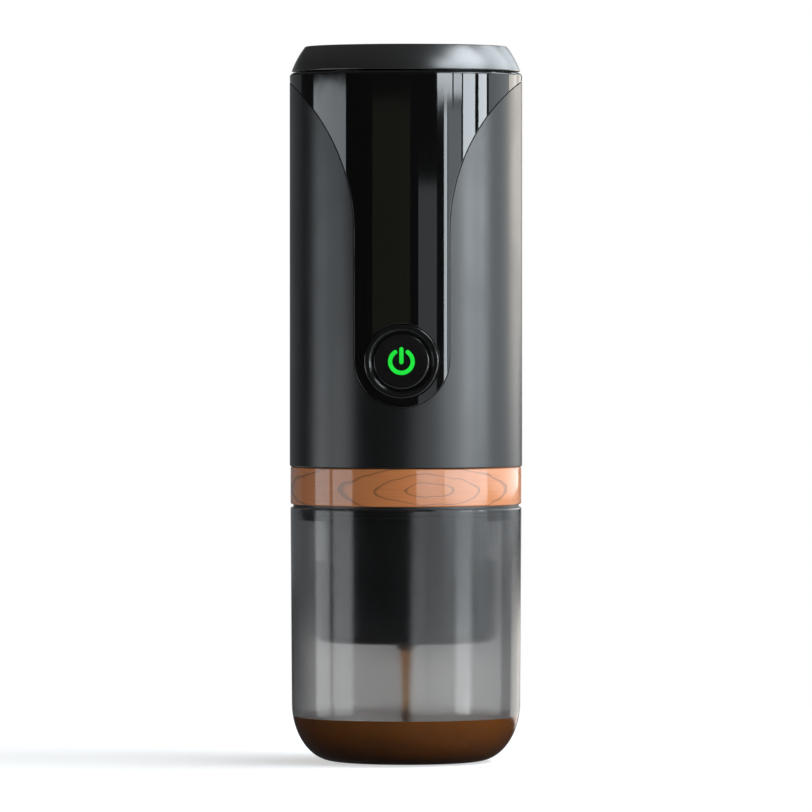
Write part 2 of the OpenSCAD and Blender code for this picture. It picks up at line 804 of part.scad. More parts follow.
module body_shell() {
    color(matte_black) difference() {
        union() {
            rotate_extrude() polygon([
                [shell_ri, shell_z], [body_r - shell_chamfer, shell_z], [body_r, shell_z + shell_chamfer],
                [body_r, shell_top], [shell_ri, shell_top]
            ]);
            ring(shell_ri + shell_wall / 2, ledge_ri, ledge_z, tank_flange_z);
            round_about(boss_out, boss_angles) disc(boss_r, boss_z, boss_z + boss_h);
        }
        intersection() {
            ring(body_r + cut, body_r - fascia_t, shell_z, shell_top + cut);
            panel_zone(fascia_seam);
        }
        bezel_hole();
        socket_opening();
        round_about(boss_out, boss_angles) disc(screw_hole_r, boss_z - over, boss_z + screw_grip + cut);
        round_about(clamp_out, boss_angles) disc(small_hole_r, ledge_z - over, tank_flange_z + over);
    }
}
module front_fascia() {
    inner = body_r - fascia_t + glue_gap;
    edge = arc([body_r - fascia_round, shell_top - fascia_round], fascia_round, 0, 90, edge_steps);
    color(gloss_black) difference() {
        intersection() {
            rotate_extrude()
                polygon(concat([[inner, shell_z], [body_r, shell_z]], edge, [[inner, shell_top]]));
            panel_zone(0);
        }
        bezel_hole();
    }
}

// Power button
module button_bezel() {
    color(dark_plastic) towards_front(button_z) rotate_extrude() polygon([
        [button_bore_r, lip_back], [button_bore_r, bezel_front],
        [bezel_r - bezel_chamfer, bezel_front], [bezel_r, bezel_front - bezel_chamfer],
        [bezel_r, bezel_back], [flange_bore_r, bezel_back], [flange_bore_r, lip_back]
    ]);
}
module power_mark() {
    mid_r = symbol_d / 2 - symbol_line / 2;
    half = symbol_line / 2;
    start = 90 + symbol_gap_deg;
    end = start + 360 - 2 * symbol_gap_deg;
    polygon(concat(
        arc([0, 0], mid_r + half, start, end, 3 * arc_steps),
        arc(polar(mid_r, end), half, end, end + 180, edge_steps),
        arc([0, 0], mid_r - half, end, start, 3 * arc_steps),
        arc(polar(mid_r, start), half, start + 180, start + 360, edge_steps)
    ));
    polygon(concat(
        arc([0, mid_r + half / 2], half, 0, 180, edge_steps),
        arc([0, half - symbol_bar_drop], half, 180, 360, edge_steps)
    ));
}
module power_button() {
    color(dark_plastic) towards_front(button_z) difference() {
        union() {
            disc(button_r, button_back, button_front);
            disc(button_r + button_flange_w, button_back, button_back + button_flange_t);
            disc(stem_r, stem_back, button_back + over);
        }
        translate([0, 0, button_front - symbol_t]) linear_extrude(symbol_t + cut) power_mark();
    }
}
module power_symbol() {
    color(lamp_green) towards_front(button_z)
        translate([0, 0, button_front - symbol_t]) linear_extrude(symbol_t) power_mark();
}

// Band and base
module wood_band() {
    c = band_chamfer;
    color(wood_brown) rotate_extrude() polygon([
        [band_ri, band_z], [band_r - c, band_z], [band_r, band_z + c],
        [band_r, shell_z - c], [band_r - c, shell_z], [band_ri, shell_z]
    ]);
}
module base_collar() {
    flange_r = max(cup_rim_r, band_r) - flange_inset;
    color(dark_plastic) difference() {
        union() {
            rotate_extrude() polygon([
                [0, plenum_z], [chamber_r, plenum_z], [chamber_r, neck_z], [neck_r, neck_z],
                [neck_r, bulkhead_z], [skirt_ri, bulkhead_z], [skirt_ri, band_z],
                [base_spigot_ri, band_z], [base_spigot_ri, base_spigot_z],
                [base_spigot_r, base_spigot_z], [base_spigot_r, cup_h], [flange_r, cup_h],
                [flange_r, band_z], [seat_r, band_z], [seat_r, shell_z], [register_r, shell_z],
                [register_r, shell_z + register_h], [register_ri, shell_z + register_h],
                [register_ri, bulkhead_top], [well_r, bulkhead_top], [well_r, well_z], [0, well_z]
            ]);
            disc(screw_head_r + fit, shower_z + shower_t, plenum_z + over);
            ridges(neck_r - thread_depth, neck_r + thread_depth, neck_thread_z, ridge_rise_out);
        }
        ring(base_spigot_r + cut, seal_r - seal_section_r - fit,
            seal_z - seal_section_r - fit, seal_z + seal_section_r + fit);
        disc(screw_hole_r, shower_z, plenum_z + well_floor_t / 2);
        rotate(pump_angle) translate(valve_at) disc(valve_seat_r, plenum_z - over, well_z + over);
        rotate(pump_angle) translate([pitch_r, 0]) round_about(pump_screw_out, pump_screw_angles)
            disc(small_hole_r, well_z - well_floor_t / 2, well_z + over);
        round_about(boss_out, boss_angles) disc(screw_hole_r, bulkhead_z - over, bulkhead_top + over);
    }
}
module cup_seal_ring() {
    color(silicone) rotate_extrude() translate([seal_r, seal_z]) circle(r = seal_section_r);
}
module base_screws() {
    color(steel) round_about(boss_out, boss_angles)
        screw(screw_r, screw_head_r, bulkhead_z, boss_z + screw_grip - bulkhead_z, true);
}

// Tank
module tank_collar() {
    thread_z = lid_thread_z + thread_t + thread_play;
    color(dark_plastic) difference() {
        union() {
            ring(collar_r, collar_ri, collar_z, collar_top);
            ridges(collar_ri + thread_depth, collar_ri - thread_depth, thread_z, ridge_rise_in);
        }
        round_about(clamp_out, boss_angles) disc(small_hole_r, collar_z - over, collar_top);
        round_about(clamp_out, boss_angles)
            disc(small_head_r + screw_gap, collar_top - screw_head_h, collar_top + over);
    }
}
module clamp_screws() {
    head_z = collar_top - screw_head_h;
    color(steel) round_about(clamp_out, boss_angles)
        screw(small_screw_r, small_head_r, head_z, head_z - ledge_z, false);
}
module water_tank() {
    outer = tank_corner + tank_wall;
    floor_z = tank_z + tank_wall;
    color(steel) difference() {
        union() {
            rotate_extrude() polygon(concat(
                [[0, tank_z]], arc([tank_ro - outer, tank_z + outer], outer, 270, 360, edge_steps),
                [[tank_ro, tank_flange_z], [tank_ro + tank_flange_w, tank_flange_z],
                    [tank_ro + tank_flange_w, collar_z], [tank_r, collar_z]],
                arc([tank_r - tank_corner, floor_z + tank_corner], tank_corner, 360, 270, edge_steps),
                [[0, floor_z]]
            ));
            round_about(hose_out, [hose_angle]) disc(spigot_r, tank_z - spigot_len, tank_z + over);
        }
        round_about(hose_out, [hose_angle])
            disc(spigot_ri, tank_z - spigot_len - over, floor_z + over);
        round_about(clamp_out, boss_angles)
            disc(small_hole_r, tank_flange_z - over, collar_z + over);
    }
}
module heater_plate() {
    color(frame_grey) difference() {
        disc(heater_d / 2, heater_z, tank_z);
        round_about(hose_out, [hose_angle]) disc(hose_r + run_gap, heater_z - over, tank_z + over);
    }
}
module thermostat() {
    color(steel) round_about(thermostat_out, [thermostat_angle]) disc(thermostat_r, deck_top, heater_z);
}

// Battery and its frame
module battery_tray() {
    color(frame_grey) difference() {
        disc(register_ri - fit, tray_z, tray_top);
        disc(motor_r + run_gap, tray_z - over, tray_top + over);
        round_about(hose_out, [hose_angle]) disc(hose_r + run_gap, tray_z - over, tray_top + over);
        round_about(boss_out, boss_angles) disc(screw_r + run_gap, tray_z - over, tray_top + over);
    }
}
module frame_posts() {
    color(frame_grey) round_about(post_out, post_angles) difference() {
        disc(post_r, tray_top, deck_z);
        disc(screw_hole_r, deck_z - screw_grip - over, deck_z + over);
    }
}
module upper_deck() {
    lug_x = power_w / 2 - lug_w;
    color(frame_grey) {
        difference() {
            union() {
                disc(deck_r, deck_z, deck_top);
                for (s = [0, 1], y = [-board_t - lug_t, 0]) mirror([s, 0, 0])
                    block([lug_x, lug_x + lug_w], [y, y + lug_t], [deck_z - lug_reach, deck_z + over]);
            }
            round_about(hose_out, [hose_angle]) disc(hose_r + run_gap, deck_z - over, deck_top + over);
            round_about(post_out, post_angles) disc(screw_hole_r, deck_z - over, deck_top + over);
            heater_lead_places() disc(lead_d / 2 + fit, deck_z - over, deck_top + over);
        }
    }
}
module deck_screws() {
    color(steel) round_about(post_out, post_angles)
        screw(screw_r, screw_head_r, deck_top, deck_t + screw_grip - over, false);
}
module battery_cell(i) {
    color(cell_blue) round_about(cell_out, [cell_angles[i]]) {
        disc(cell_r, cell_z, cell_z + cell_h - cell_cap_h);
        disc(cell_cap_r, cell_z + cell_h - cell_cap_h - over, cell_z + cell_h);
    }
}
module cell_strap(inner, z, start) {
    rotate(start - strap_lap) rotate_extrude(angle = strap_deg)
        translate([inner, z]) square([strap_w, strap_t]);
}
module battery_straps() {
    color(steel) {
        cell_strap(strap_ri, tray_top, cell_angles[1]);
        cell_strap(cell_out - strap_w / 2, cell_z + cell_h, cell_angles[0]);
    }
}

// Motor
module motor_can() {
    color(steel) difference() {
        disc(motor_r, motor_z, motor_top);
        disc(motor_r - motor_wall, motor_z + motor_plate_t, motor_top + over);
        disc(bush_r + shaft_gap, motor_z - over, motor_z + motor_plate_t + over);
    }
}
module motor_end_cap() {
    color(dark_plastic) ring(motor_r - motor_wall - shaft_gap, bush_r + shaft_gap,
        motor_top - motor_plate_t, motor_top);
}
module motor_bushes() {
    color(copper) {
        ring(bush_r, shaft_r + shaft_gap, motor_z, motor_z + bush_h);
        ring(bush_r, shaft_r + shaft_gap, motor_top - bush_h, motor_top);
    }
}
module motor_magnets() {
    color(frame_grey) for (start = [0, 180]) rotate(start - magnet_deg / 2)
        rotate_extrude(angle = magnet_deg)
            translate([magnet_r - magnet_t, rotor_z]) square([magnet_t, rotor_top - rotor_z]);
}
module motor_shaft() {
    color(steel) disc(shaft_r, gear_z, motor_top - shaft_gap);
}
module rotor_core() {
    color(copper) difference() {
        ring(rotor_r, shaft_r + shaft_gap / 2, rotor_z, rotor_top);
        for (a = [0, 120, 240]) rotate(a)
            block([rotor_r / 2, rotor_r + cut], [-rotor_slot / 2, rotor_slot / 2],
                [rotor_z - over, rotor_top + over]);
    }
}

// Pump
function involute(a) = tan(a) * 180 / PI - a;
function tooth_half(r) = 90 / gear_teeth - gear_backlash / 4 / pitch_r * 180 / PI
    + involute(gear_pressure) - involute(acos(min(1, base_circle_r / r)));
function gear_tooth(a) =
    let (
        steps = 5,
        low = max(base_circle_r, root_r),
        radii = [for (i = [0 : steps]) low + (tip_r - low) * i / steps],
        rising = [for (r = radii) polar(r, a - tooth_half(r))],
        falling = [for (r = reverse(radii)) polar(r, a + tooth_half(r))]
    )
    concat([polar(root_r, a - tooth_half(low))], rising, falling, [polar(root_r, a + tooth_half(low))]);
module gear(bore) {
    translate([0, 0, gear_z]) linear_extrude(gear_h) difference() {
        polygon([for (i = [0 : gear_teeth - 1]) each gear_tooth(360 * i / gear_teeth)]);
        circle(r = bore);
    }
}
module pump_frame() {
    rotate(pump_angle) children();
}
module pump_screw_places() {
    translate([pitch_r, 0, 0]) round_about(pump_screw_out, pump_screw_angles) children();
}
module pump_housing() {
    color(frame_grey) pump_frame() {
        difference() {
            translate([pitch_r, 0, 0]) disc(pump_r, pump_z, pump_top);
            for (x = [0, gear_space]) translate([x, 0, 0])
                disc(gear_bore_r, gear_z - gear_gap, pump_top + over);
            translate(valve_at) disc(pump_port_r, pump_z - over, pump_top + over);
            mirror([0, 1, 0]) translate(valve_at) disc(pump_port_r, gear_z - gear_gap, pump_top + over);
            pump_screw_places() disc(small_hole_r, pump_z - over, pump_top + over);
        }
        translate([gear_space, 0, 0]) disc(idler_pin_r, gear_z - gear_gap - over, gear_z + gear_h);
    }
}
module pump_cover() {
    color(frame_grey) difference() {
        union() {
            pump_frame() translate([pitch_r, 0, 0]) disc(pump_r, pump_top, motor_z);
            round_about(hose_out, [hose_angle]) disc(spigot_r, motor_z - over, motor_z + spigot_len);
        }
        disc(shaft_r + shaft_gap, pump_top - over, motor_z + over);
        pump_frame() pump_screw_places() disc(small_hole_r, pump_top - over, motor_z + over);
        pump_frame() pump_screw_places()
            disc(small_head_r + screw_gap, motor_z - screw_head_h, motor_z + over);
        round_about(hose_out, [hose_angle]) disc(spigot_ri, pump_top - over, motor_z + spigot_len + over);
        pump_frame() block([pitch_r, hose_out * cos(hose_turn)],
            [-port_side - inlet_half_w, -port_side + inlet_half_w],
            [pump_top - over, pump_top + inlet_half_w]);
    }
}
module pump_screws() {
    color(steel) pump_frame() pump_screw_places() screw(small_screw_r, small_head_r,
        motor_z - screw_head_h, motor_z - screw_head_h - well_z + well_floor_t / 2 - fit, false);
}
module drive_gear() {
    color(dark_plastic) pump_frame() gear(shaft_r + shaft_gap / 2);
}
module idler_gear() {
    color(dark_plastic) pump_frame() translate([gear_space, 0, 0]) gear(idler_pin_r + shaft_gap);
}
module suction_hose() {
    color(silicone) round_about(hose_out, [hose_angle]) ring(hose_r, hose_ri, motor_z + fit, tank_z - fit);
}

// Electronics
module board_screw_places() {
    for (x = [-board_screw_x, board_screw_x], z = board_screw_zs) translate([x, 0, z]) rotate([90, 0, 0])
        children();
}
module board_carrier() {
    color(frame_grey) difference() {
        union() {
            block([-carrier_w / 2, carrier_w / 2], [-carrier_front, -carrier_rear], [tray_top, deck_z]);
            board_screw_places() disc(standoff_r, carrier_front - over, board_rear);
        }
        board_screw_places() disc(small_hole_r, carrier_rear - over, board_rear + over);
    }
}
module control_board() {
    color(board_green) difference() {
        block([-board_w / 2, board_w / 2], [-board_front, -board_rear], [board_z, board_z + board_h]);
        board_screw_places() disc(small_hole_r, board_rear - over, board_front + over);
    }
}
module board_screws() {
    color(steel) board_screw_places()
        screw(small_screw_r, small_head_r, board_front, board_front - carrier_rear - fit, false);
}
module tact_switch() {
    half = switch_w / 2;
    color(frame_grey) {
        block([-half, half], [-switch_front, -board_front], [button_z - half, button_z + half]);
        towards_front(button_z) disc(plunger_r, switch_front - over, plunger_front);
    }
}
module status_leds() {
    half = led_w / 2;
    color(lamp_green) for (x = [-led_x, led_x])
        block([x - half, x + half], [-board_front - led_h, -board_front],
            [button_z - half, button_z + half]);
}
module power_board() {
    color(board_green) block([-power_w / 2, power_w / 2], [-board_t, 0], [power_z, deck_z]);
}
module heater_lead_places() {
    for (x = [-heater_lead_x, heater_lead_x]) translate([x, lead_d / 2 + fit, 0]) children();
}
module power_leads() {
    color(copper) {
        heater_lead_places() disc(lead_d / 2, deck_z - lead_len, heater_z);
        for (x = [-motor_lead_x, motor_lead_x]) translate([x, lead_d / 2 + fit, 0])
            disc(lead_d / 2, motor_top, power_z + lead_len);
    }
}

// Charging socket
module port_board() {
    color(board_green) block([-port_board_w / 2, port_board_w / 2],
        [port_board_y - port_board_l, port_board_y], [deck_top, deck_top + board_t]);
}
module usb_port() {
    half_w = port_w / 2;
    half_h = port_h / 2;
    color(steel) {
        difference() {
            block([-half_w, half_w], [port_back, port_mouth], [port_z - half_h, port_z + half_h]);
            block([-half_w + port_wall, half_w - port_wall], [port_back + port_rear_t, port_mouth + over],
                [port_z - half_h + port_wall, port_z + half_h - port_wall]);
        }
        block([-tongue_w / 2, tongue_w / 2], [port_back + port_rear_t - over, port_mouth - 2 * flap_lip],
            [port_z - tongue_t / 2, port_z + tongue_t / 2]);
    }
}
module flap_bead(r, half_w) {
    translate([-half_w, flap_axis_y, flap_axis_z]) rotate([0, 90, 0]) cylinder(r = r, h = 2 * half_w);
}
module port_flap() {
    lip_w = port_w / 2 - port_wall - flap_lip_gap;
    lip_h = port_h / 2 - port_wall - flap_lip_gap;
    seat = flap_seat_y + glue_gap;
    color(silicone) {
        intersection() {
            block([-flap_half_w, flap_half_w], [seat, body_r + cut], [flap_axis_z, port_z + flap_half_h]);
            disc(body_r - glue_gap, flap_axis_z - cut, port_z + flap_half_h + cut, $fn = fine_steps);
        }
        flap_bead(flap_bead_r, flap_bead_half_w);
        block([-lip_w, lip_w], [seat - flap_lip, seat + over], [port_z - lip_h, port_z + lip_h]);
    }
}

// Outlet valve
module valve_place() {
    pump_frame() translate(valve_at) children();
}
module valve_cage() {
    color(dark_plastic) valve_place() difference() {
        disc(cage_r, cage_z, plenum_z);
        disc(cage_ri, cage_z + cage_wall, plenum_z + over);
        disc(cage_hole_r, cage_z - over, cage_z + cage_wall + over);
        block([-cage_r, cage_r], [-cage_wall, cage_wall], [cage_z + 2 * cage_wall, plenum_z - cage_wall]);
    }
}
module valve_poppet() {
    color(silicone) valve_place() disc(poppet_r, poppet_z, plenum_z);
}
module valve_spring() {
    sides = 6;
    rings_per_turn = 10;
    rings = rings_per_turn * spring_turns;
    low = spring_z + spring_wire;
    high = poppet_z - spring_wire;
    wire = spring_wire / 2;
    points = [
        for (i = [0 : rings]) let (a = 360 * spring_turns * i / rings)
        for (k = [0 : sides - 1]) let (b = 360 * k / sides, r = spring_r + wire * cos(b))
        [r * cos(a), r * sin(a), low + (high - low) * i / rings + wire * sin(b)]
    ];
    last = sides * rings;
    faces = [
        for (i = [0 : rings - 1]) for (k = [0 : sides - 1])
        let (a = sides * i + k, b = sides * i + (k + 1) % sides)
        each [[a, b + sides, a + sides], [a, b, b + sides]]
    ];
    ends = [for (k = [1 : sides - 2]) each [[0, k + 1, k], [last, last + k, last + k + 1]]];
    color(steel) valve_place() polyhedron(points, concat(faces, ends));
}

// Brew head
module shower_screen() {
    color(steel) difference() {
        disc(chamber_r - fit, shower_z, shower_z + shower_t);
        disc(screw_hole_r, shower_z - over, shower_z + shower_t + over);
        hole_rings(shower_hole_r, screw_head_r, shower_pitch, shower_rings,
            shower_z - over, shower_z + shower_t + over);
    }
}
module shower_screw() {
    color(steel) screw(screw_r, screw_head_r, shower_z, plenum_z - shower_z, true);
}
module group_gasket() {
    color(silicone) ring(neck_r - fit, chamber_r + fit, basket_top, neck_z);
}
module filter_basket() {
    color(steel) difference() {
        rotate_extrude() polygon([
            [0, basket_z], [basket_ro, basket_z], [basket_ro, shelf_z], [basket_flange_r, shelf_z],
            [basket_flange_r, basket_top], [basket_ri, basket_top], [basket_ri, basket_z + basket_wall],
            [0, basket_z + basket_wall]
        ]);
        hole_rings(basket_hole_r, 0, basket_pitch, basket_rings,
            basket_z - over, basket_z + basket_wall + over);
    }
}
module brew_holder() {
    floor_z = holder_z + holder_floor;
    drain_z = floor_z - holder_fall;
    drain_r = spout_tip_r + fit;
    thread_z = neck_thread_z + thread_t + thread_play;
    edge = arc([holder_r - holder_round, holder_z + holder_round], holder_round, 270, 360, edge_steps);
    color(dark_plastic) union() {
        rotate_extrude() polygon(concat(
            [[drain_r, holder_z]], edge, [[holder_r, holder_top], [holder_thread_r, holder_top],
                [holder_thread_r, shelf_z], [holder_bore_r, shelf_z], [holder_bore_r, floor_z],
                [drain_r, drain_z]]
        ));
        ridges(holder_thread_r + thread_depth, holder_thread_r - thread_depth, thread_z, ridge_rise_in);
    }
}
module spout() {
    top = holder_z + holder_floor - holder_fall;
    reach = spout_root_r - spout_tip_r;
    flare = [for (i = [0 : edge_steps]) let (a = 90 * i / edge_steps)
        [spout_root_r - reach * sin(a), spout_z + spout_len * cos(a)]];
    color(silicone) rotate_extrude() polygon(concat(
        [[spout_bore_r, top], [spout_tip_r, top], [spout_tip_r, holder_z]], flare,
        [[spout_bore_r, spout_z]]
    ));
}

// Lid
module seal_disc() {
    color(dark_plastic) difference() {
        union() {
            disc(disc_r, disc_z, disc_top);
            disc(stud_r, disc_top - over, stud_top);
        }
        ring(stud_r + cut, stud_r - clip_groove, clip_z, clip_top);
    }
}
module lid_gasket() {
    color(silicone) ring(disc_r - fit, lid_gasket_ri, lid_gasket_z, disc_z);
}
module stud_clip() {
    color(steel) ring(stud_r + clip_w, stud_r - clip_groove + shaft_gap, clip_z, clip_top);
}
module lid_cap() {
    chord = [lid_top_r - lid_base_r, lid_h];
    reach = norm(chord) / 2;
    middle = [lid_base_r, lid_z] + chord / 2;
    inward = [-chord[1], chord[0]] / norm(chord);
    centre = middle + inward * sqrt(pow(lid_side_r, 2) - pow(reach, 2));
    edge_r = lid_side_r - lid_round;
    low = asin((lid_z - centre[1]) / lid_side_r);
    turn = asin((lid_top - lid_round - centre[1]) / edge_r);
    side = arc(centre, lid_side_r, low, turn);
    edge = arc(centre + polar(edge_r, turn), lid_round, turn, 90, edge_steps);
    color(gloss_black) rotate_extrude() polygon(concat(
        [[lid_cavity_r, lid_z]], side, edge,
        [[0, lid_top], [0, lid_top - lid_top_t], [lid_cavity_r, lid_top - lid_top_t]]
    ));
}
module lid_liner() {
    flange_z = lid_z + fit;
    flange_top = flange_z + lid_web_t;
    color(dark_plastic) union() {
        rotate_extrude() polygon([
            [stud_r + shaft_gap, web_z], [skirt_inner_r, web_z], [skirt_inner_r, skirt_z],
            [skirt_r, skirt_z], [skirt_r, flange_z], [lid_cavity_r - fit, flange_z],
            [lid_cavity_r - fit, flange_top], [skirt_inner_r, flange_top], [skirt_inner_r, web_top],
            [stud_r + shaft_gap, web_top]
        ]);
        ridges(skirt_r - thread_depth, skirt_r + thread_depth, lid_thread_z, ridge_rise_out);
    }
}

cup();
body_shell();
front_fascia();
button_bezel();
wood_band();
base_collar();
cup_seal_ring();
tank_collar();
clamp_screws();
water_tank();
heater_plate();
thermostat();
upper_deck();
deck_screws();
frame_posts();
battery_tray();
for (i = [0 : 2]) battery_cell(i);
battery_straps();
motor_can();
motor_end_cap();
motor_bushes();
motor_magnets();
pump_housing();
pump_cover();
pump_screws();
suction_hose();
board_carrier();
control_board();
board_screws();
tact_switch();
status_leds();
power_board();
power_leads();
port_board();
usb_port();
base_screws();
valve_cage();
valve_spring();
shower_screen();
shower_screw();
group_gasket();
seal_disc();
lid_gasket();
stud_clip();
lid_cap();
lid_liner();
power_button();
power_symbol();
port_flap();
filter_basket();
brew_holder();
spout();
motor_shaft();
rotor_core();
drive_gear();
idler_gear();
valve_poppet();
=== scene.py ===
# %% [markdown]
# # A portable coffee machine, dressed for its picture
#
# The solids come from a imported CAD model, in metres, standing on the floor at z = 0 with its front towards
# -Y. This lesson loads them as a fixed frame, models the pieces that need softer edges, gives every surface
# a finish made of nodes, and lights it all like a small studio.

# %% Load the frame
import json
import math
import bpy
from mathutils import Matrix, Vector


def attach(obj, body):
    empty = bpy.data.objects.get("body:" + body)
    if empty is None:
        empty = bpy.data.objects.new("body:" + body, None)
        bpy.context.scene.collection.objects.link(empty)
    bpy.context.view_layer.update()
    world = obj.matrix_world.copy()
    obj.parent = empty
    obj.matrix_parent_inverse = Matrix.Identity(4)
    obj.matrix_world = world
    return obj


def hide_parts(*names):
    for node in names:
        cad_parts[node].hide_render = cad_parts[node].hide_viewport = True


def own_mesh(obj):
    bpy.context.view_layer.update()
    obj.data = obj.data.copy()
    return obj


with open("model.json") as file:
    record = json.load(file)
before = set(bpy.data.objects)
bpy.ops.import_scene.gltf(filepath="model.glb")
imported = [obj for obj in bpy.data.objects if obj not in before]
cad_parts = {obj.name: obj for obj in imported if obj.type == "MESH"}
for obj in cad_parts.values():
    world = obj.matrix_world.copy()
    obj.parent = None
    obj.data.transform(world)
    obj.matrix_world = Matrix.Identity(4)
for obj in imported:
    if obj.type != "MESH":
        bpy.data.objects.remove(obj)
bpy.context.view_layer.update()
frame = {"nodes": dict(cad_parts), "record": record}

# %% [markdown]
# ## The camera
#
# The picture was taken from far away with a long lens, a little above the machine's middle and a little to
# one side. A level camera with a shifted lens would keep upright edges quite parallel, but from this far
# the tilt is under one degree, so the camera is simply aimed.

# %% Camera
EYE_HEIGHT = 0.1465
EYE_DISTANCE = 2.385
EYE_TURN = math.radians(2.25)
AIM_HEIGHT = 0.1099
LENS_MM, SENSOR_MM = 341.4, 36

bpy.ops.object.select_all(action="DESELECT")
bpy.ops.object.camera_add(
    location=(EYE_DISTANCE * math.sin(EYE_TURN), -EYE_DISTANCE * math.cos(EYE_TURN), EYE_HEIGHT),
    rotation=(math.radians(90) - math.atan((EYE_HEIGHT - AIM_HEIGHT) / EYE_DISTANCE), 0, EYE_TURN),
)
camera = bpy.context.object
camera.name = "picture_camera"
camera.data.sensor_width = SENSOR_MM
camera.data.lens = LENS_MM
bpy.context.scene.camera = camera
bpy.context.scene.view_settings.view_transform = "Standard"
print("camera", tuple(round(c, 3) for c in camera.location), "lens", camera.data.lens)

# %% [markdown]
# ## Soft boxes
#
# A black, shiny thing is seen by what it mirrors, so the lamps are placed as a photographer places them:
# by the angle at which the round body shows them. Each lamp is a flat rectangle that faces the machine.
# Its strength is given as the brightness of its face, because that is what a mirror shows. Blender wants
# watts, and a face of brightness L and area A takes 4 L A of them.

# %% A soft box by angles
def soft_box(name, angles, heights, away, brightness, tint=(1, 1, 1), tip=0):
    """Adds a lamp between two angles and two heights, tipped down by some degrees.

    The angles are counted in degrees from the camera to the viewer's right.
    """
    middle = math.radians(sum(angles) / 2) + EYE_TURN
    wide = 2 * away * math.tan(math.radians(angles[1] - angles[0]) / 2)
    tall = heights[1] - heights[0]
    bpy.ops.object.select_all(action="DESELECT")
    bpy.ops.object.light_add(
        type="AREA",
        location=(away * math.sin(middle), -away * math.cos(middle), sum(heights) / 2),
        rotation=(math.radians(90 - tip), 0, middle),
    )
    lamp = bpy.context.object
    lamp.name = name
    lamp.data.shape = "RECTANGLE"
    lamp.data.size = wide
    lamp.data.size_y = tall
    lamp.data.energy = 4 * brightness * wide * tall
    lamp.data.color = tint
    lamp.visible_camera = False
    return lamp


# %% [markdown]
# ## The lamps
#
# On the viewer's right stand upright strips, so that the polished panel shows bars, with dimmer boxes
# below them for the cup. On the left is a window: two tall panes and one above them. A lamp behind on the
# right draws the bright rim. The plan lists the lamps by their distance, and each row gives a name, the
# angles, the heights, the brightness and the tint.

# %% Right, left and back lamps
COOL = (0.86, 0.94, 1.0)
WARM = (1.0, 0.95, 0.88)
DUSK = (1.0, 1.0, 0.7)
PALE = (0.95, 0.98, 1.0)
FRONT_AWAY, RIGHT_AWAY, LEFT_AWAY, BACK_AWAY = 1.25, 1.20, 1.00, 1.30

lamps = {
    FRONT_AWAY: [
        ("front_dusk", (-33, 4), (0.12, 0.235), 0.10, DUSK),
        ("front_card", (12, 30), (0.05, 0.195), 0.70, COOL),
    ],
    RIGHT_AWAY: [
        ("strip_top_1", (30.5, 46), (0.234, 0.36), 10.0, COOL),
        ("strip_top_2", (47.5, 56), (0.234, 0.36), 9.0, COOL),
        ("strip_thin", (37.4, 40.6), (0.10, 0.23), 8.5, COOL),
        ("strip_low", (41.5, 55.5), (0.10, 0.23), 2.2, COOL),
        ("strip_3", (57.5, 71.5), (0.10, 0.36), 11.0, COOL),
        ("strip_4", (75.5, 86), (0.10, 0.36), 11.0, COOL),
        ("side_fill", (89, 121), (0.10, 0.36), 1.5, COOL),
        ("band_front", (10, 37), (0.046, 0.075), 2.4, COOL),
        ("band_near", (38, 88), (0.046, 0.098), 4.6, COOL),
        ("band_far", (89, 150), (0.050, 0.098), 2.2, COOL),
        ("low_bar", (5, 20), (-0.20, 0.03), 2.2, PALE),
        ("low_dim", (21, 49), (-0.03, 0.03), 1.2, PALE),
        ("low_near", (50, 68), (-0.03, 0.03), 3.2, PALE),
        ("low_far", (69, 110), (-0.20, 0.03), 1.3, PALE),
        ("foot_dim", (21, 49), (-0.20, -0.03), 2.2, PALE),
        ("foot_near", (50, 68), (-0.20, -0.03), 7.5, PALE),
    ],
    LEFT_AWAY: [
        ("pane_near", (-77, -54), (0.10, 0.155), 2.3, COOL),
        ("pane_far", (-101, -81), (0.10, 0.155), 2.3, COOL),
        ("pane_near_band", (-77, -54), (0.046, 0.072), 2.2, COOL),
        ("pane_far_band", (-101, -81), (0.046, 0.072), 2.1, COOL),
        ("pane_near_low", (-77, -54), (-0.20, 0.04), 2.8, PALE),
        ("pane_far_low", (-101, -81), (-0.20, 0.04), 3.1, PALE),
        ("pane_above", (-103, -61), (0.16, 0.236), 2.8, COOL),
    ],
    BACK_AWAY: [
        ("left_back", (-172, -126), (0.00, 0.45), 0.13, COOL),
        ("rim", (122, 141), (0.115, 0.40), 3.5, WARM),
        ("rim_end", (141, 160), (0.115, 0.40), 1.8, WARM),
        ("rim_low", (131, 163), (-0.20, -0.01), 1.35, WARM),
    ],
}
for away, group in lamps.items():
    for name, angles, heights, brightness, tint in group:
        soft_box(name, angles, heights, away, brightness, tint)
print("lamps", sum(len(group) for group in lamps.values()))

# %% [markdown]
# The lid's side leans back, so it mirrors what hangs above: high up for its front, and lower and lower
# towards its right end. Four boxes follow that line down, and each is given by its angles, how far it
# climbs, how far it spreads above and below that, and its brightness. One large box would be simpler, but
# seen from behind it would show in the lid's flat top and wash it out.

# %% Lamps for the lid
LID_MIDDLE, LAMP_REACH = 0.217, 1.10

lid_lamps = [
    ("lid_front", (37.0, 66.0), 42, 6, 6.5),
    ("lid_near", (66.0, 102.0), 43, 13, 6.5),
    ("lid_far", (102.0, 140.0), 29, 14, 2.8),
    ("lid_end", (140.0, 162.0), 16, 8, 1.3),
]
for name, angles, climb, spread, brightness in lid_lamps:
    away = LAMP_REACH * math.cos(math.radians(climb))
    high = LID_MIDDLE + LAMP_REACH * math.sin(math.radians(climb))
    half = LAMP_REACH * math.tan(math.radians(spread))
    soft_box(name, angles, (high - half, high + half), away, brightness, COOL, tip=climb)

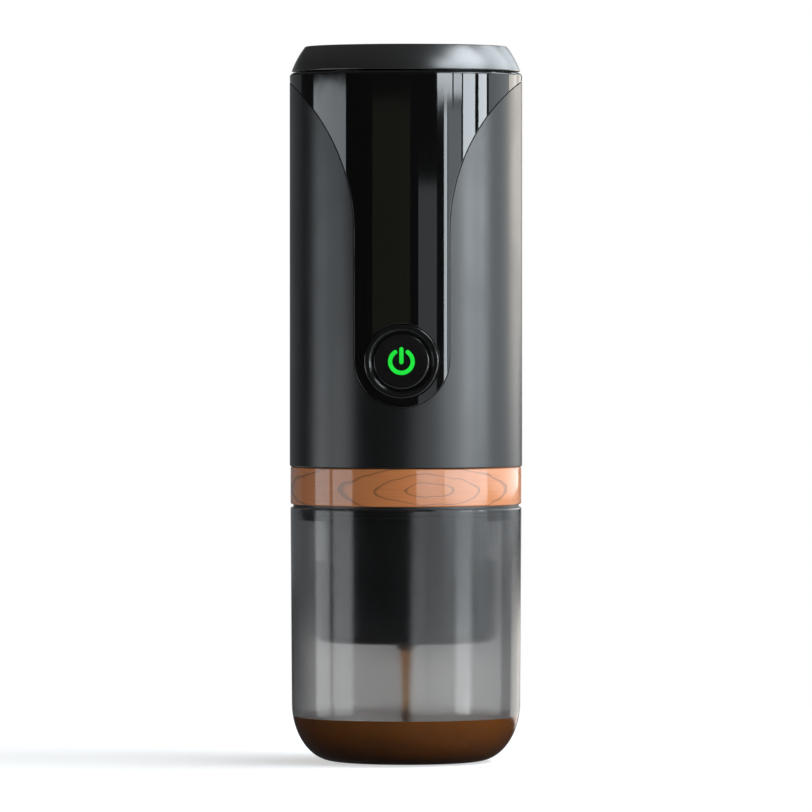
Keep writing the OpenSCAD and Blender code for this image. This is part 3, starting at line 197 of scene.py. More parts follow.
# %% [markdown]
# ## Nodes by hand
#
# The room, the floor and the finishes are made of shader nodes. Set one by one they would take many lines,
# so five helpers add a node with its values, link sockets, and add the three nodes that come up most: a
# Map Range, a Math node and a mix of two colours.

# %% Helpers for nodes
def add_node(tree, kind, **settings):
    """Adds a node, sets its properties by name and its unlinked inputs by socket name."""
    node = tree.nodes.new("ShaderNode" + kind)
    for key, value in settings.items():
        if key in node.bl_rna.properties.keys():
            setattr(node, key, value)
        else:
            node.inputs[key.replace("_", " ")].default_value = value
    return node


def join(tree, *links):
    """Makes links, each given as a node, its output, the next node and its input."""
    for before, out, after, into in links:
        tree.links.new(before.outputs[out], after.inputs[into])


def ramp(tree, start, end, low=0.0, high=1.0, curve="SMOOTHSTEP"):
    """Adds a Map Range that takes start to low and end to high."""
    return add_node(
        tree, "MapRange", interpolation_type=curve,
        From_Min=start, From_Max=end, To_Min=low, To_Max=high,
    )


def maths(tree, operation, second=None, **settings):
    """Adds a Math node, with its second input fixed if it is given."""
    node = add_node(tree, "Math", operation=operation, **settings)
    if second is not None:
        node.inputs[1].default_value = second
    return node


def two_tones(tree, first, second):
    """Adds a mix from one colour to another."""
    return add_node(tree, "Mix", data_type="RGBA", A=(*first, 1), B=(*second, 1))


# %% [markdown]
# ## The room
#
# The room is the world's shader. What the camera sees directly, or through the clear cup, is a white
# backdrop. What lights the machine is much dimmer, a little brighter overhead, because a white room all
# round would turn the black plastic grey. So a ray counts as looking only if it has not yet bounced off
# anything: otherwise the backdrop would light the inside of the cup. Straight behind the machine the
# backdrop also shows in mirrors.

# %% World
def looking(tree):
    """Adds a mask: 1 where the camera looks, straight or through clear plastic, and 0 after a bounce."""
    ray = add_node(tree, "LightPath")
    bounces = maths(tree, "ADD")
    straight = maths(tree, "LESS_THAN", 0.5)
    through = maths(tree, "MULTIPLY")
    seen = maths(tree, "MAXIMUM")
    join(
        tree,
        (ray, "Diffuse Depth", bounces, 0),
        (ray, "Glossy Depth", bounces, 1),
        (bounces, "Value", straight, 0),
        (straight, "Value", through, 0),
        (ray, "Is Transmission Ray", through, 1),
        (through, "Value", seen, 0),
        (ray, "Is Camera Ray", seen, 1),
    )
    return ray, seen


world = bpy.data.worlds.new("room")
bpy.context.scene.world = world
world.use_nodes = True
room = world.node_tree
room.nodes.clear()
ray, seen = looking(room)
direction = add_node(room, "TexCoord")
split = add_node(room, "SeparateXYZ")
overhead = ramp(room, 0.15, 0.95, 0.04, 0.16)
behind = ramp(room, 0.972, 0.995)
shown = maths(room, "MULTIPLY")
seen_or_mirrored = maths(room, "MAXIMUM")
strength = add_node(room, "Mix", data_type="FLOAT", B=1.0)
backdrop = add_node(room, "Background", Color=(1, 1, 1, 1))
room_out = add_node(room, "OutputWorld")
join(
    room,
    (direction, "Generated", split, "Vector"),
    (split, "Z", overhead, "Value"),
    (split, "Y", behind, "Value"),
    (ray, "Is Glossy Ray", shown, 0),
    (behind, "Result", shown, 1),
    (seen, "Value", seen_or_mirrored, 0),
    (shown, "Value", seen_or_mirrored, 1),
    (seen_or_mirrored, "Value", strength, "Factor"),
    (overhead, "Result", strength, "A"),
    (strength, "Result", backdrop, "Strength"),
    (backdrop, "Background", room_out, "Surface"),
)
print("room nodes", len(room.nodes))

# %% [markdown]
# ## The floor
#
# The floor is one large pale sheet. Near the machine it is a real diffuse surface, so it keeps the soft
# shadow. For the camera a little glow is added to bring it up to white, and further out the glow takes
# over, so the sheet runs into the white backdrop with no line between them.

# %% Floor
FLOOR_RADIUS, FLOOR_DROP = 3.0, 0.0002
SHADOW_REACH, WHITE_REACH = 0.10, 0.32

bpy.ops.object.select_all(action="DESELECT")
bpy.ops.mesh.primitive_circle_add(
    vertices=96, radius=FLOOR_RADIUS, fill_type="NGON", location=(0, 0, -FLOOR_DROP)
)
floor = bpy.context.object
floor.name = "floor"
bpy.ops.object.transform_apply(location=True, rotation=False, scale=False)

floor_paint = bpy.data.materials.new("pale_floor")
floor_paint.use_nodes = True
tree = floor_paint.node_tree
tree.nodes.clear()
place = add_node(tree, "TexCoord")
reach = add_node(tree, "VectorMath", operation="LENGTH")
fade = ramp(tree, SHADOW_REACH, WHITE_REACH)
paint = add_node(tree, "BsdfDiffuse", Color=(0.82, 0.82, 0.82, 1))
glow = add_node(tree, "Emission", Strength=0.55)
white = add_node(tree, "Emission", Strength=1.0)
lifted = add_node(tree, "AddShader")
far = add_node(tree, "MixShader")
ray, direct = looking(tree)
choice = add_node(tree, "MixShader")
join(
    tree,
    (place, "Object", reach, 0),
    (reach, "Value", fade, "Value"),
    (paint, 0, lifted, 0),
    (glow, 0, lifted, 1),
    (fade, "Result", far, 0),
    (lifted, 0, far, 1),
    (white, 0, far, 2),
    (direct, "Value", choice, 0),
    (paint, 0, choice, 1),
    (far, 0, choice, 2),
)

# %% [markdown]
# In mirrors the floor shows where the ray comes down steeply from some way off, as it does on the body
# seen from above. A flat or short ray passes through it, so the boxes that reach below the floor still
# show down to the foot of the cup.

# %% The floor in mirrors
SHORT_RAY, LONG_RAY = 0.06, 0.14

mirrored = maths(tree, "SUBTRACT", use_clamp=True)
from_afar = ramp(tree, SHORT_RAY, LONG_RAY)
slant = add_node(tree, "LayerWeight", Blend=0.5)
steep = ramp(tree, 0.75, 0.50)
shows = maths(tree, "MULTIPLY")
hides = maths(tree, "SUBTRACT")
hides.inputs[0].default_value = 1.0
open_way = maths(tree, "MULTIPLY")
clear_floor = add_node(tree, "BsdfTransparent")
passing = add_node(tree, "MixShader")
floor_out = add_node(tree, "OutputMaterial")
join(
    tree,
    (ray, "Is Glossy Ray", mirrored, 0),
    (ray, "Is Transmission Ray", mirrored, 1),
    (ray, "Ray Length", from_afar, "Value"),
    (slant, "Facing", steep, "Value"),
    (from_afar, "Result", shows, 0),
    (steep, "Result", shows, 1),
    (shows, "Value", hides, 1),
    (mirrored, "Value", open_way, 0),
    (hides, "Value", open_way, 1),
    (open_way, "Value", passing, 0),
    (choice, 0, passing, 1),
    (clear_floor, 0, passing, 2),
    (passing, 0, floor_out, "Surface"),
)
floor.data.materials.append(floor_paint)
print("floor faces", len(floor.data.polygons), "nodes", len(tree.nodes))

# %% [markdown]
# ## Drawing and turning
#
# Most of what replaces a solid here is round: the cup, the lid, the button and its ring. They could be
# stacked from cylinders, but a turner draws half a section and spins it. So a tiny plane is merged to one
# vertex, the vertex is extruded along the section point by point, and the line is spun a full turn.
# Doubles are merged where the turn closes, and only then are the normals set to face outwards. Sections
# are drawn in millimetres, and MM takes them to metres.

# %% Helpers for a drawn line and a turned piece
MM = 0.001
FINE_STEPS = 192
WELD = 0.002 * MM
UP = Vector((0, 0, 1))
FORWARD = Vector((0, -1, 0))


def object_mode():
    """Leaves edit mode."""
    bpy.ops.object.mode_set(mode="OBJECT")


def edit_all():
    """Goes to edit mode with everything selected."""
    bpy.ops.object.mode_set(mode="EDIT")
    bpy.ops.mesh.select_all(action="SELECT")


def cut(point, normal, **more):
    """Cuts the whole mesh by a plane, in edit mode."""
    bpy.ops.mesh.select_all(action="SELECT")
    bpy.ops.mesh.bisect(plane_co=point, plane_no=normal, **more)


def only_this(piece=None):
    """Leaves edit mode and drops every selection, then selects one piece if it is given."""
    if bpy.context.object and bpy.context.object.mode == "EDIT":
        object_mode()
    bpy.ops.object.select_all(action="DESELECT")
    if piece:
        piece.select_set(True)
        bpy.context.view_layer.objects.active = piece


def start_line(name, first):
    """Adds a plane and merges it to the one vertex that a line is drawn from."""
    only_this()
    bpy.ops.mesh.primitive_plane_add(size=MM, location=first)
    bpy.ops.object.transform_apply(location=True, rotation=False, scale=False)
    bpy.context.object.name = name
    edit_all()
    bpy.ops.mesh.merge(type="CENTER")


def draw_line(points):
    """Extrudes the selected vertex from point to point."""
    for here, there in zip(points, points[1:]):
        bpy.ops.mesh.extrude_vertices_move(TRANSFORM_OT_translate={"value": there - here})


def close_up(weld=WELD):
    """Merges doubles and turns every face outwards."""
    bpy.ops.mesh.select_all(action="SELECT")
    bpy.ops.mesh.remove_doubles(threshold=weld)
    bpy.ops.mesh.normals_make_consistent(inside=False)


def turned(name, section, axis=UP, centre=Vector((0, 0, 0)), steps=160, smooth=38):
    """Spins a section of (radius, height) points round an axis."""
    line = [centre + Vector((r * MM, 0, 0)) + axis * (h * MM) for r, h in section]
    start_line(name, line[0])
    draw_line(line)
    bpy.ops.mesh.select_all(action="SELECT")
    bpy.ops.mesh.spin(steps=steps, angle=math.tau, center=centre, axis=axis)
    close_up()
    object_mode()
    bpy.ops.object.shade_smooth_by_angle(angle=math.radians(smooth))
    piece = bpy.context.object
    print(name, "faces", len(piece.data.polygons), "size mm", [round(c / MM, 2) for c in piece.dimensions])
    return piece


def evenly(start, end, steps):
    """Values from start to end in equal steps."""
    return [start + (end - start) * i / steps for i in range(steps + 1)]


def arc(centre, radius, start, end, steps=8):
    """Points of a round edge, from one angle to another in degrees."""
    angles = [math.radians(a) for a in evenly(start, end, steps)]
    return [(centre[0] + radius * math.cos(a), centre[1] + radius * math.sin(a)) for a in angles]


# %% [markdown]
# ## The clear cup
#
# The cup is one moulding of smoky plastic. Its bottom corner is a quarter of an oval, not of a circle, and
# its rim and foot have small round edges that catch the light. Clear things need both of their walls, so
# the section goes up the outside, over the rim and down the inside. Two rows of points close under the rim
# keep the shading of its round edge off the tall side.

# %% Cup
CUP_TOP, CUP_FLOOR, CUP_WALL = 78.8, 2.8, 2.0
CUP_FOOT_R, CUP_RIM_R = 35.4, 35.8
CORNER_WIDE, CORNER_TALL = 13.0, 18.0
RIM_ROUND, RIM_ROUND_INSIDE = 0.6, 0.4
FOOT_HOLLOW_R, FOOT_HOLLOW, FOOT_ROUND = 16.4, 0.8, 0.4


def oval_corner(radius, low, wide, tall, steps=30, end=90):
    """A quarter of an oval, from the bottom out to the side."""
    angles = [math.radians(a) for a in evenly(0, end, steps)]
    return [(radius - wide + wide * math.sin(a), low + tall - tall * math.cos(a)) for a in angles]


def cup_side(rim_round, inwards=0.0):
    """Points up the side of the cup, which widens a little towards the rim."""
    rim_start = CUP_TOP - rim_round
    rows = [(35.41, 19.5), (35.5, 33), (35.6, 48), (35.7, 63)]
    rows += [(35.79, rim_start - 1.2), (35.797, rim_start - 0.2)]
    return [(r - inwards, z) for r, z in rows]


foot = [(0, FOOT_HOLLOW), (FOOT_HOLLOW_R, FOOT_HOLLOW)]
foot += arc((FOOT_HOLLOW_R, FOOT_HOLLOW - FOOT_ROUND), FOOT_ROUND, 90, 0, 4)
foot += arc((FOOT_HOLLOW_R + 2 * FOOT_ROUND, FOOT_ROUND), FOOT_ROUND, 180, 270, 4)
outside = oval_corner(CUP_FOOT_R, 0, CORNER_WIDE, CORNER_TALL) + cup_side(RIM_ROUND)
rim = arc((CUP_RIM_R - RIM_ROUND, CUP_TOP - RIM_ROUND), RIM_ROUND, 0, 90)
bore = CUP_RIM_R - CUP_WALL
rim += arc((bore + RIM_ROUND_INSIDE, CUP_TOP - RIM_ROUND_INSIDE), RIM_ROUND_INSIDE, 90, 180, 6)
inside = oval_corner(CUP_FOOT_R - CUP_WALL, CUP_FLOOR, CORNER_WIDE - CUP_WALL, CORNER_TALL - CUP_FLOOR)
inside += cup_side(RIM_ROUND_INSIDE, CUP_WALL)
cup = turned("cup_clear", foot + outside + rim + inside[::-1] + [(0, CUP_FLOOR)], steps=FINE_STEPS)
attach(cup, "cup")
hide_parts("cup")

# %% [markdown]
# ## The coffee
#
# The drink fills the cup's rounded bottom. It is drawn a hair wider than the inside of the cup, so that no
# film of air shows between them, and its surface climbs a little at the wall, as any liquid does.

# %% Coffee
COFFEE_TOP, SOAK = 13.6, 0.1

bottom = oval_corner(
    CUP_FOOT_R - CUP_WALL + SOAK, CUP_FLOOR - SOAK,
    CORNER_WIDE - CUP_WALL + SOAK, CORNER_TALL - CUP_FLOOR + SOAK, end=75,
)
climb_at_wall = [(33.1, 0.35), (32.6, 0.16), (31.8, 0.04), (30, 0), (0, 0)]
surface = [(r, COFFEE_TOP + climb) for r, climb in climb_at_wall]
coffee = turned("coffee", [(0, CUP_FLOOR - SOAK)] + bottom + surface)
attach(coffee, "cup")

# %% [markdown]
# The last of the brew is still falling as a thin stream. It hangs from the spout and ends in the cup, and
# the two move apart, so one piece could not follow both. It is made of two: the upper one goes with the
# spout, and the lower one, a hair thinner, stands in the coffee and reaches a little way into it. When the
# holder drops, the upper one slides down over the lower one.

# %% Stream
STREAM_TOP, STREAM_PARTS, STREAM_LAP = 40.0, 27.0, 0.6
SUNK = COFFEE_TOP - 0.1

fall = [(0, STREAM_TOP), (1.9, STREAM_TOP), (1.88, 34.4), (1.7, 33), (1.45, 29.5), (1.33, STREAM_PARTS)]
stream = turned("coffee_stream", fall + [(0, STREAM_PARTS)], steps=32)
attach(stream, "holder")
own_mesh(stream)

lap_end = STREAM_PARTS + STREAM_LAP
thread = [(0, lap_end), (1.0, lap_end - 0.1), (1.28, STREAM_PARTS), (1.22, 25), (1.12, 20.5), (1.08, 16.5)]
splash = [(1.2, COFFEE_TOP + 1.2), (1.6, COFFEE_TOP + 0.35), (2.3, COFFEE_TOP + 0.08)]
splash += [(3.0, SUNK), (0, SUNK)]
stream_foot = turned("coffee_stream_foot", thread + splash, steps=32)
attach(stream_foot, "cup")
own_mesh(stream_foot)

# %% [markdown]
# ## The lid
#
# The lid is a shallow dome with a flat top. Its side is one arc that leans in, its upper edge is rounded,
# and its lower edge ends in a small round lip, which shows as a bright line above the dark gap.

# %% Lid
LID_LOW, LID_HIGH, LID_THICK, LID_BORE_R = 213.3, 221.1, 2.4, 31.0
SIDE_CENTRE, SIDE_R, SIDE_FROM = (9.98, 204.37), 27.0, 20.5
LID_EDGE, LIP_R, LIP_ROUND = 0.6, 35.12, 0.25
INNER_CORNER, INNER_CHAMFER = 0.4, 0.3

turn_at = math.asin((LID_HIGH - LID_EDGE - SIDE_CENTRE[1]) / (SIDE_R - LID_EDGE))
edge_centre = (SIDE_CENTRE[0] + (SIDE_R - LID_EDGE) * math.cos(turn_at), LID_HIGH - LID_EDGE)
lip = arc((LIP_R, LID_LOW + LIP_ROUND), LIP_ROUND, -90, 15, 6)
lid_side = arc(SIDE_CENTRE, SIDE_R, SIDE_FROM, math.degrees(turn_at), 20)
lid_edge = arc(edge_centre, LID_EDGE, math.degrees(turn_at), 90)
ceiling = LID_HIGH - LID_THICK
lid_under = [
    (0, LID_HIGH),
    (0, ceiling),
    (LID_BORE_R - INNER_CORNER, ceiling),
    (LID_BORE_R, ceiling - INNER_CORNER),
    (LID_BORE_R, LID_LOW + INNER_CHAMFER),
]
lid_start = [(LID_BORE_R + INNER_CHAMFER, LID_LOW)]
lid = turned("lid_shell", lid_start + lip + lid_side + lid_edge + lid_under + lid_start, steps=FINE_STEPS)
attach(lid, "lid")
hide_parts("lid_cap")

# %% [markdown]
# ## The button and its ring
#
# The button sits in a turned ring on the front, with a funnel inside and a round outer edge. Ring and cap
# are spun round an axis that points forward, so their heights are distances from the middle of the
# machine.

# %% Button ring
BUTTON, BUTTON_STEPS = Vector((0, 0, 0.124)), 128
RING_R, SEAT_R, FUNNEL_R = 11.4, 9.9, 8.95
RING_BACK, SEAT_FRONT, RING_FRONT = 31.5, 34.0, 36.0
FUNNEL_ROUND, RING_ROUND = 0.3, 0.5

funnel = [(SEAT_R, RING_BACK), (SEAT_R, SEAT_FRONT), (FUNNEL_R, SEAT_FRONT), (FUNNEL_R, SEAT_FRONT + 1)]
funnel += arc((FUNNEL_R + FUNNEL_ROUND, 35.05), FUNNEL_ROUND, 180, 125, 4)
ring_top = [(9.72, 35.86)] + arc((9.95, RING_FRONT - FUNNEL_ROUND), FUNNEL_ROUND, 125, 90, 3)
ring_top += [(10.8, RING_FRONT)]
ring_top += arc((RING_R - RING_ROUND, RING_FRONT - RING_ROUND), RING_ROUND, 90, 0)
ring_back = [(RING_R, RING_BACK), (SEAT_R, RING_BACK)]
ring = turned("button_ring", funnel + ring_top + ring_back, FORWARD, BUTTON, BUTTON_STEPS)
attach(ring, "machine")
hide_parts("button_bezel")

# %% [markdown]
# The cap has a flat face with a rolled rim. The lit mark in it is the CAD node, which stands a fiftieth of
# a millimetre proud of the new face.

# %% Button cap
CAP_R, FLANGE_R, STEM_R = 8.65, 9.6, 2.2
STEM_BACK, FLANGE_BACK, FLANGE_FRONT, CAP_FRONT = 30.55, 32.5, 33.7, 35.68
CAP_ROUND = 0.7

stem = [(0, STEM_BACK), (STEM_R, STEM_BACK), (STEM_R, FLANGE_BACK)]
flange = [(FLANGE_R, FLANGE_BACK), (FLANGE_R, FLANGE_FRONT), (CAP_R, FLANGE_FRONT)]
rolled_rim = [(CAP_R, CAP_FRONT - CAP_ROUND - 0.08)]
rolled_rim += arc((CAP_R - CAP_ROUND, CAP_FRONT - CAP_ROUND), CAP_ROUND, 0, 90, 10)
cap_face = [(7.2, CAP_FRONT - 0.02), (5.5, CAP_FRONT), (0, CAP_FRONT)]
cap = turned("button_cap", stem + flange + rolled_rim + cap_face, FORWARD, BUTTON, BUTTON_STEPS)
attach(cap, "button")
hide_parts("power_button")

# %% [markdown]
# ## The flap at the back
#
# A soft flap covers the charging socket. The solid has the right shape but knife-sharp edges, which no
# moulding has. So it is copied, its loose triangles are merged, flat neighbours are dissolved into whole
# faces, and a Bevel modifier rounds what is still sharp.

# %% Flap
FLAP_ROUND, SHARP = 0.35, math.radians(35)


def merged_copy(node, name):
    """Copies a solid, merges its loose triangles and stays in edit mode with all of it selected."""
    only_this(frame["nodes"][node])
    bpy.ops.object.duplicate()
    piece = bpy.context.object
    piece.name = name
    edit_all()
    bpy.ops.mesh.remove_doubles(threshold=WELD)
    return piece


flap = merged_copy("port_flap", "port_cover")
bpy.ops.mesh.dissolve_limited(angle_limit=math.radians(0.5))
object_mode()
soft_edge = flap.modifiers.new("soft_edge", "BEVEL")
soft_edge.width = FLAP_ROUND * MM
soft_edge.segments = 4
soft_edge.limit_method = "ANGLE"
soft_edge.angle_limit = SHARP
bpy.ops.object.modifier_apply(modifier=soft_edge.name)
bpy.ops.object.shade_smooth_by_angle(angle=SHARP)
print("port_cover faces", len(flap.data.polygons))
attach(flap, "flap")
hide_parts("port_flap")

# %% [markdown]
# ## The valve's spring
#
# Deep inside, a small spring holds the outlet valve shut. It has to shorten when the valve opens, which a
# rigid solid can't do. So its solid is copied too, into a piece with a mesh of its own, and the six-sided
# wire is made round by a Subdivision Surface.

coil = merged_copy("valve_spring", "valve_coil")
bpy.ops.mesh.normals_make_consistent(inside=False)
object_mode()
round_wire = coil.modifiers.new("round_wire", "SUBSURF")
round_wire.levels = 1
round_wire.render_levels = 1
bpy.ops.object.modifier_apply(modifier=round_wire.name)
bpy.ops.object.shade_smooth()
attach(coil, "machine")
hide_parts("valve_spring")
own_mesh(coil)

# %% [markdown]
# ## The polished panel
#
# The panel is a thin shell on the front: a tongue that holds the button, flaring upwards into a ring round
# the top. On a flat table it is easy to draw, so it is cut flat, its edge is rounded by insets that also
# step forward, its back is closed, and upright cuts make it ready to bend. The Simple Deform modifier then
# rolls the sheet into a full turn, and the two ends meet at the back.

# %% The flat outline
BODY_R = 36.0
STRIP, FLARE_R, FLARE_LOW = 14.7, 62.0, 163.429
TIP_HEIGHT, RING_LOW, PANEL_TOP = 124.5, 210.2, 212.9
HOLE_GAP, SPARE = 0.15, 3.0
half_turn = math.pi * BODY_R


def rolled(points):
    """Takes points as seen from the front to the flat sheet: how far round the body, and how high."""
    return [(BODY_R * math.asin(max(-1, min(1, x / BODY_R))), z) for x, z in points]


tongue = [(STRIP, z) for z in evenly(TIP_HEIGHT, FLARE_LOW, 20)[:-1]]
flare = arc((STRIP + FLARE_R, FLARE_LOW), FLARE_R, 180, 151, 29)
flare_turn = math.degrees(math.asin(flare[-1][0] / BODY_R))
for turn in evenly(flare_turn, 90, 34)[1:-1]:
    x = BODY_R * math.sin(math.radians(turn))
    flare.append((x, FLARE_LOW + math.sqrt(FLARE_R ** 2 - (STRIP + FLARE_R - x) ** 2)))
right = rolled(tongue + flare)
right += [(u, RING_LOW) for u in evenly(half_turn / 2, half_turn + SPARE, 24)]
crown = [(u, PANEL_TOP) for u in evenly(half_turn + SPARE, -half_turn - SPARE, 120)]
left = [(-u, z) for u, z in right[::-1]]
tip = rolled(arc((0, TIP_HEIGHT), STRIP, 180, 360, 48)[1:-1])
outline = right + crown + left + tip
hole = rolled(arc((0, BUTTON.z / MM), RING_R + HOLE_GAP, 0, 360, 72))
print("outline points", len(outline), "hole points", len(hole))

# %% [markdown]
# The two loops are drawn in one mesh, a little behind the front, and filled.

# %% Cut the flat sheet
EDGE_ROUND, THICK, LEVEL_RIM = 0.25, 1.15, 0.12


def on_table(points):
    """Places points of the flat sheet in space, behind the front by the edge's radius."""
    return [Vector((u * MM, EDGE_ROUND * MM, z * MM)) for u, z in points]


loop = on_table(outline)
start_line("front_panel", loop[0])
draw_line(loop + loop[:1])
bpy.ops.mesh.select_all(action="DESELECT")
object_mode()
panel = bpy.context.object
ring_loop = on_table(hole)
start_line("panel_hole", ring_loop[0])
draw_line(ring_loop)
object_mode()
hole_line = bpy.context.object
only_this(panel)
hole_line.select_set(True)
bpy.ops.object.join()
edit_all()
bpy.ops.mesh.remove_doubles(threshold=WELD)
bpy.ops.mesh.fill(use_beauty=True)
object_mode()
facing = sum(p.normal.y * p.area for p in panel.data.polygons)
print("flat sheet faces", len(panel.data.polygons), "facing", "back" if facing > 0 else "front")

# %% [markdown]
# Each inset moves the sheet's edge in by a part of a quarter circle and its middle forward by the rest, so
# four of them make a round edge. A last narrow inset stays level and keeps the round edge's shading out of
# the middle.

# %% Round its edge and close its back
bpy.ops.object.mode_set(mode="EDIT")
bpy.ops.mesh.select_mode(type="FACE")
bpy.ops.mesh.select_all(action="SELECT")
if facing > 0:
    bpy.ops.mesh.flip_normals()
quarter = [math.radians(a) for a in evenly(0, 90, 4)]
for a, b in zip(quarter, quarter[1:]):
    step_in = EDGE_ROUND * (math.cos(a) - math.cos(b))
    step_out = EDGE_ROUND * (math.sin(b) - math.sin(a))
    bpy.ops.mesh.inset(thickness=step_in * MM, depth=step_out * MM, use_even_offset=True)
bpy.ops.mesh.inset(thickness=LEVEL_RIM * MM, depth=0, use_even_offset=True)
bpy.ops.mesh.select_mode(type="EDGE")
bpy.ops.mesh.select_all(action="DESELECT")
bpy.ops.mesh.select_non_manifold(
    extend=False, use_wire=False, use_multi_face=False, use_non_contiguous=False, use_verts=False
)
bpy.ops.mesh.extrude_edges_move(TRANSFORM_OT_translate={"value": (0, (THICK - EDGE_ROUND) * MM, 0)})
bpy.ops.mesh.fill(use_beauty=True)
object_mode()
sheet_area = sum(p.area for p in panel.data.polygons) / MM ** 2
print("closed sheet faces", len(panel.data.polygons), "area mm2", round(sheet_area))

# %% [markdown]
# The panel's upper edge is a wider, soft shoulder that catches the light under the lid. Level cuts near
# the top give it rows of points, and each row of the front is moved back onto a quarter of an oval. The
# lowest two cuts stay level and keep the shoulder's shading out of the middle.

# %% Round the shoulder
SHOULDER_TALL, SHOULDER_DEEP, SHOULDER_SPARE = 1.4, 1.0, 0.15
NEAR = 0.001
FRONT_DEPTH = EDGE_ROUND + 0.01


def select_points(piece, wanted):
    """Selects the points of a piece that pass a test of their place, and goes to edit mode."""
    bpy.ops.object.mode_set(mode="EDIT")
    bpy.ops.mesh.select_mode(type="VERT")
    bpy.ops.mesh.select_all(action="DESELECT")
    object_mode()
    for point in piece.data.vertices:
        point.select = wanted(point.co / MM)
    bpy.ops.object.mode_set(mode="EDIT")


turns = [math.radians(a) for a in evenly(10, 90, 8)]
cut_depths = [SHOULDER_TALL * (1 - math.cos(t)) for t in turns] + [SHOULDER_TALL + SHOULDER_SPARE]
bpy.ops.object.mode_set(mode="EDIT")
for depth in cut_depths:
    cut((0, 0, (PANEL_TOP - depth) * MM), (0, 0, 1))
object_mode()
rows = {}
for point in panel.data.vertices:
    below = round(PANEL_TOP - point.co.z / MM, 3)
    if below < SHOULDER_TALL - NEAR and point.co.y < FRONT_DEPTH * MM:
        rows[below] = point.co.y / MM
for below, now in rows.items():
    wanted_y = SHOULDER_DEEP * (1 - math.sqrt(1 - (1 - below / SHOULDER_TALL) ** 2))
    select_points(panel, lambda p: abs(PANEL_TOP - p.z - below) < NEAR and p.y < FRONT_DEPTH)
    bpy.ops.transform.translate(value=(0, (wanted_y - now) * MM, 0))
object_mode()
print("shoulder rows", len(rows))

# %% [markdown]
# Upright cuts every millimetre and a half let the sheet bend smoothly. The spare ends are cut off exactly
# half a turn from the middle, so the bend closes.

# %% Roll the sheet round the body
UPRIGHT_CUTS, SEAM_WELD = 150, 0.004 * MM

bpy.ops.object.mode_set(mode="EDIT")
for side in (1, -1):
    cut((side * half_turn * MM, 0, 0), (side, 0, 0), clear_outer=True)
for u in evenly(-half_turn, half_turn, UPRIGHT_CUTS)[1:-1]:
    cut((u * MM, 0, 0), (1, 0, 0))
object_mode()
only_this(panel)
bend = panel.modifiers.new("roll", "SIMPLE_DEFORM")
bend.deform_method = "BEND"
bend.deform_axis = "Z"
bend.angle = math.tau
bpy.ops.object.modifier_apply(modifier=bend.name)
edit_all()
bpy.ops.transform.translate(value=(0, -BODY_R * MM, 0))
close_up(SEAM_WELD)
object_mode()
bpy.ops.object.shade_smooth_by_angle(angle=math.radians(40))
print("front_panel faces", len(panel.data.polygons))

# %% [markdown]
# A mirror shows every wrong normal, and where the cuts meet the edge the sheet's own normals are a little
# off. The cure is to borrow them: a plain smooth cylinder of the same radius stands in, the Data Transfer
# modifier copies its normals to the level part of the panel, and the cylinder is removed.

# %% Borrow the normals of a cylinder
LEVEL_WITHIN = 0.006
GUIDE_TALL, GUIDE_MIDDLE = 0.2, 0.15

radii = [math.hypot(v.co.x, v.co.y) / MM for v in panel.data.vertices]
level_points = [i for i, radius in enumerate(radii) if radius > BODY_R - LEVEL_WITHIN]
level = panel.vertex_groups.new(name="level")
level.add(level_points, 1.0, "REPLACE")
only_this()
bpy.ops.mesh.primitive_cylinder_add(
    vertices=720, radius=BODY_R * MM, depth=GUIDE_TALL,
    end_fill_type="NOTHING", location=(0, 0, GUIDE_MIDDLE),
)
guide = bpy.context.object
bpy.ops.object.shade_smooth()
only_this(panel)
borrow = panel.modifiers.new("borrow", "DATA_TRANSFER")
borrow.object = guide
borrow.use_loop_data = True
borrow.data_types_loops = {"CUSTOM_NORMAL"}
borrow.loop_mapping = "POLYINTERP_NEAREST"
borrow.vertex_group = level.name
bpy.ops.object.modifier_apply(modifier=borrow.name)
bpy.data.objects.remove(guide)
print("radius", round(min(radii), 3), "to", round(max(radii), 3), "level points", len(level_points))
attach(panel, "machine")
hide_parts("front_fascia")

# %% [markdown]
# ## Shared effects as node groups
#
# Real plastic is never one flat colour: it has a fine pebble from the mould, and faint smears where hands
# hold it. Several finishes need the same effects, so each effect is built once as a node group with named
# inputs. A group gives out only values that change over the surface, and each material decides where they
# go.

# %% A maker of groups
def new_group(name, inputs, outputs):
    """A node group with float inputs (name, default), the place on the surface and named float outputs."""
    group = bpy.data.node_groups.new(name, "ShaderNodeTree")
    for label, value in inputs:
        socket = group.interface.new_socket(label, in_out="INPUT", socket_type="NodeSocketFloat")
        socket.default_value = value
    for label in outputs:
        group.interface.new_socket(label, in_out="OUTPUT", socket_type="NodeSocketFloat")
    given, result = group.nodes.new("NodeGroupInput"), group.nodes.new("NodeGroupOutput")
    return group, given, add_node(group, "TexCoord"), result


# %% [markdown]
# The mould texture gives a height for its pebble and soft patches for two tones. The smears are drawn out
# upwards, as a hand wipes.

# %% Mould texture and smears
mould, given, where, result = new_group(
    "mould_texture", [("Pebble Scale", 6000.0), ("Patch Scale", 45.0)], ["Height", "Patches"]
)
pebble = add_node(mould, "TexNoise", Detail=2.0, Roughness=0.6)
patch = add_node(mould, "TexNoise", Detail=4.0, Roughness=0.55, Distortion=0.6)
spread = ramp(mould, 0.35, 0.68)
join(
    mould,
    (where, "Object", pebble, "Vector"),
    (where, "Object", patch, "Vector"),
    (given, "Pebble Scale", pebble, "Scale"),
    (given, "Patch Scale", patch, "Scale"),
    (pebble, "Fac", result, "Height"),
    (patch, "Fac", spread, "Value"),
    (spread, "Result", result, "Patches"),
)

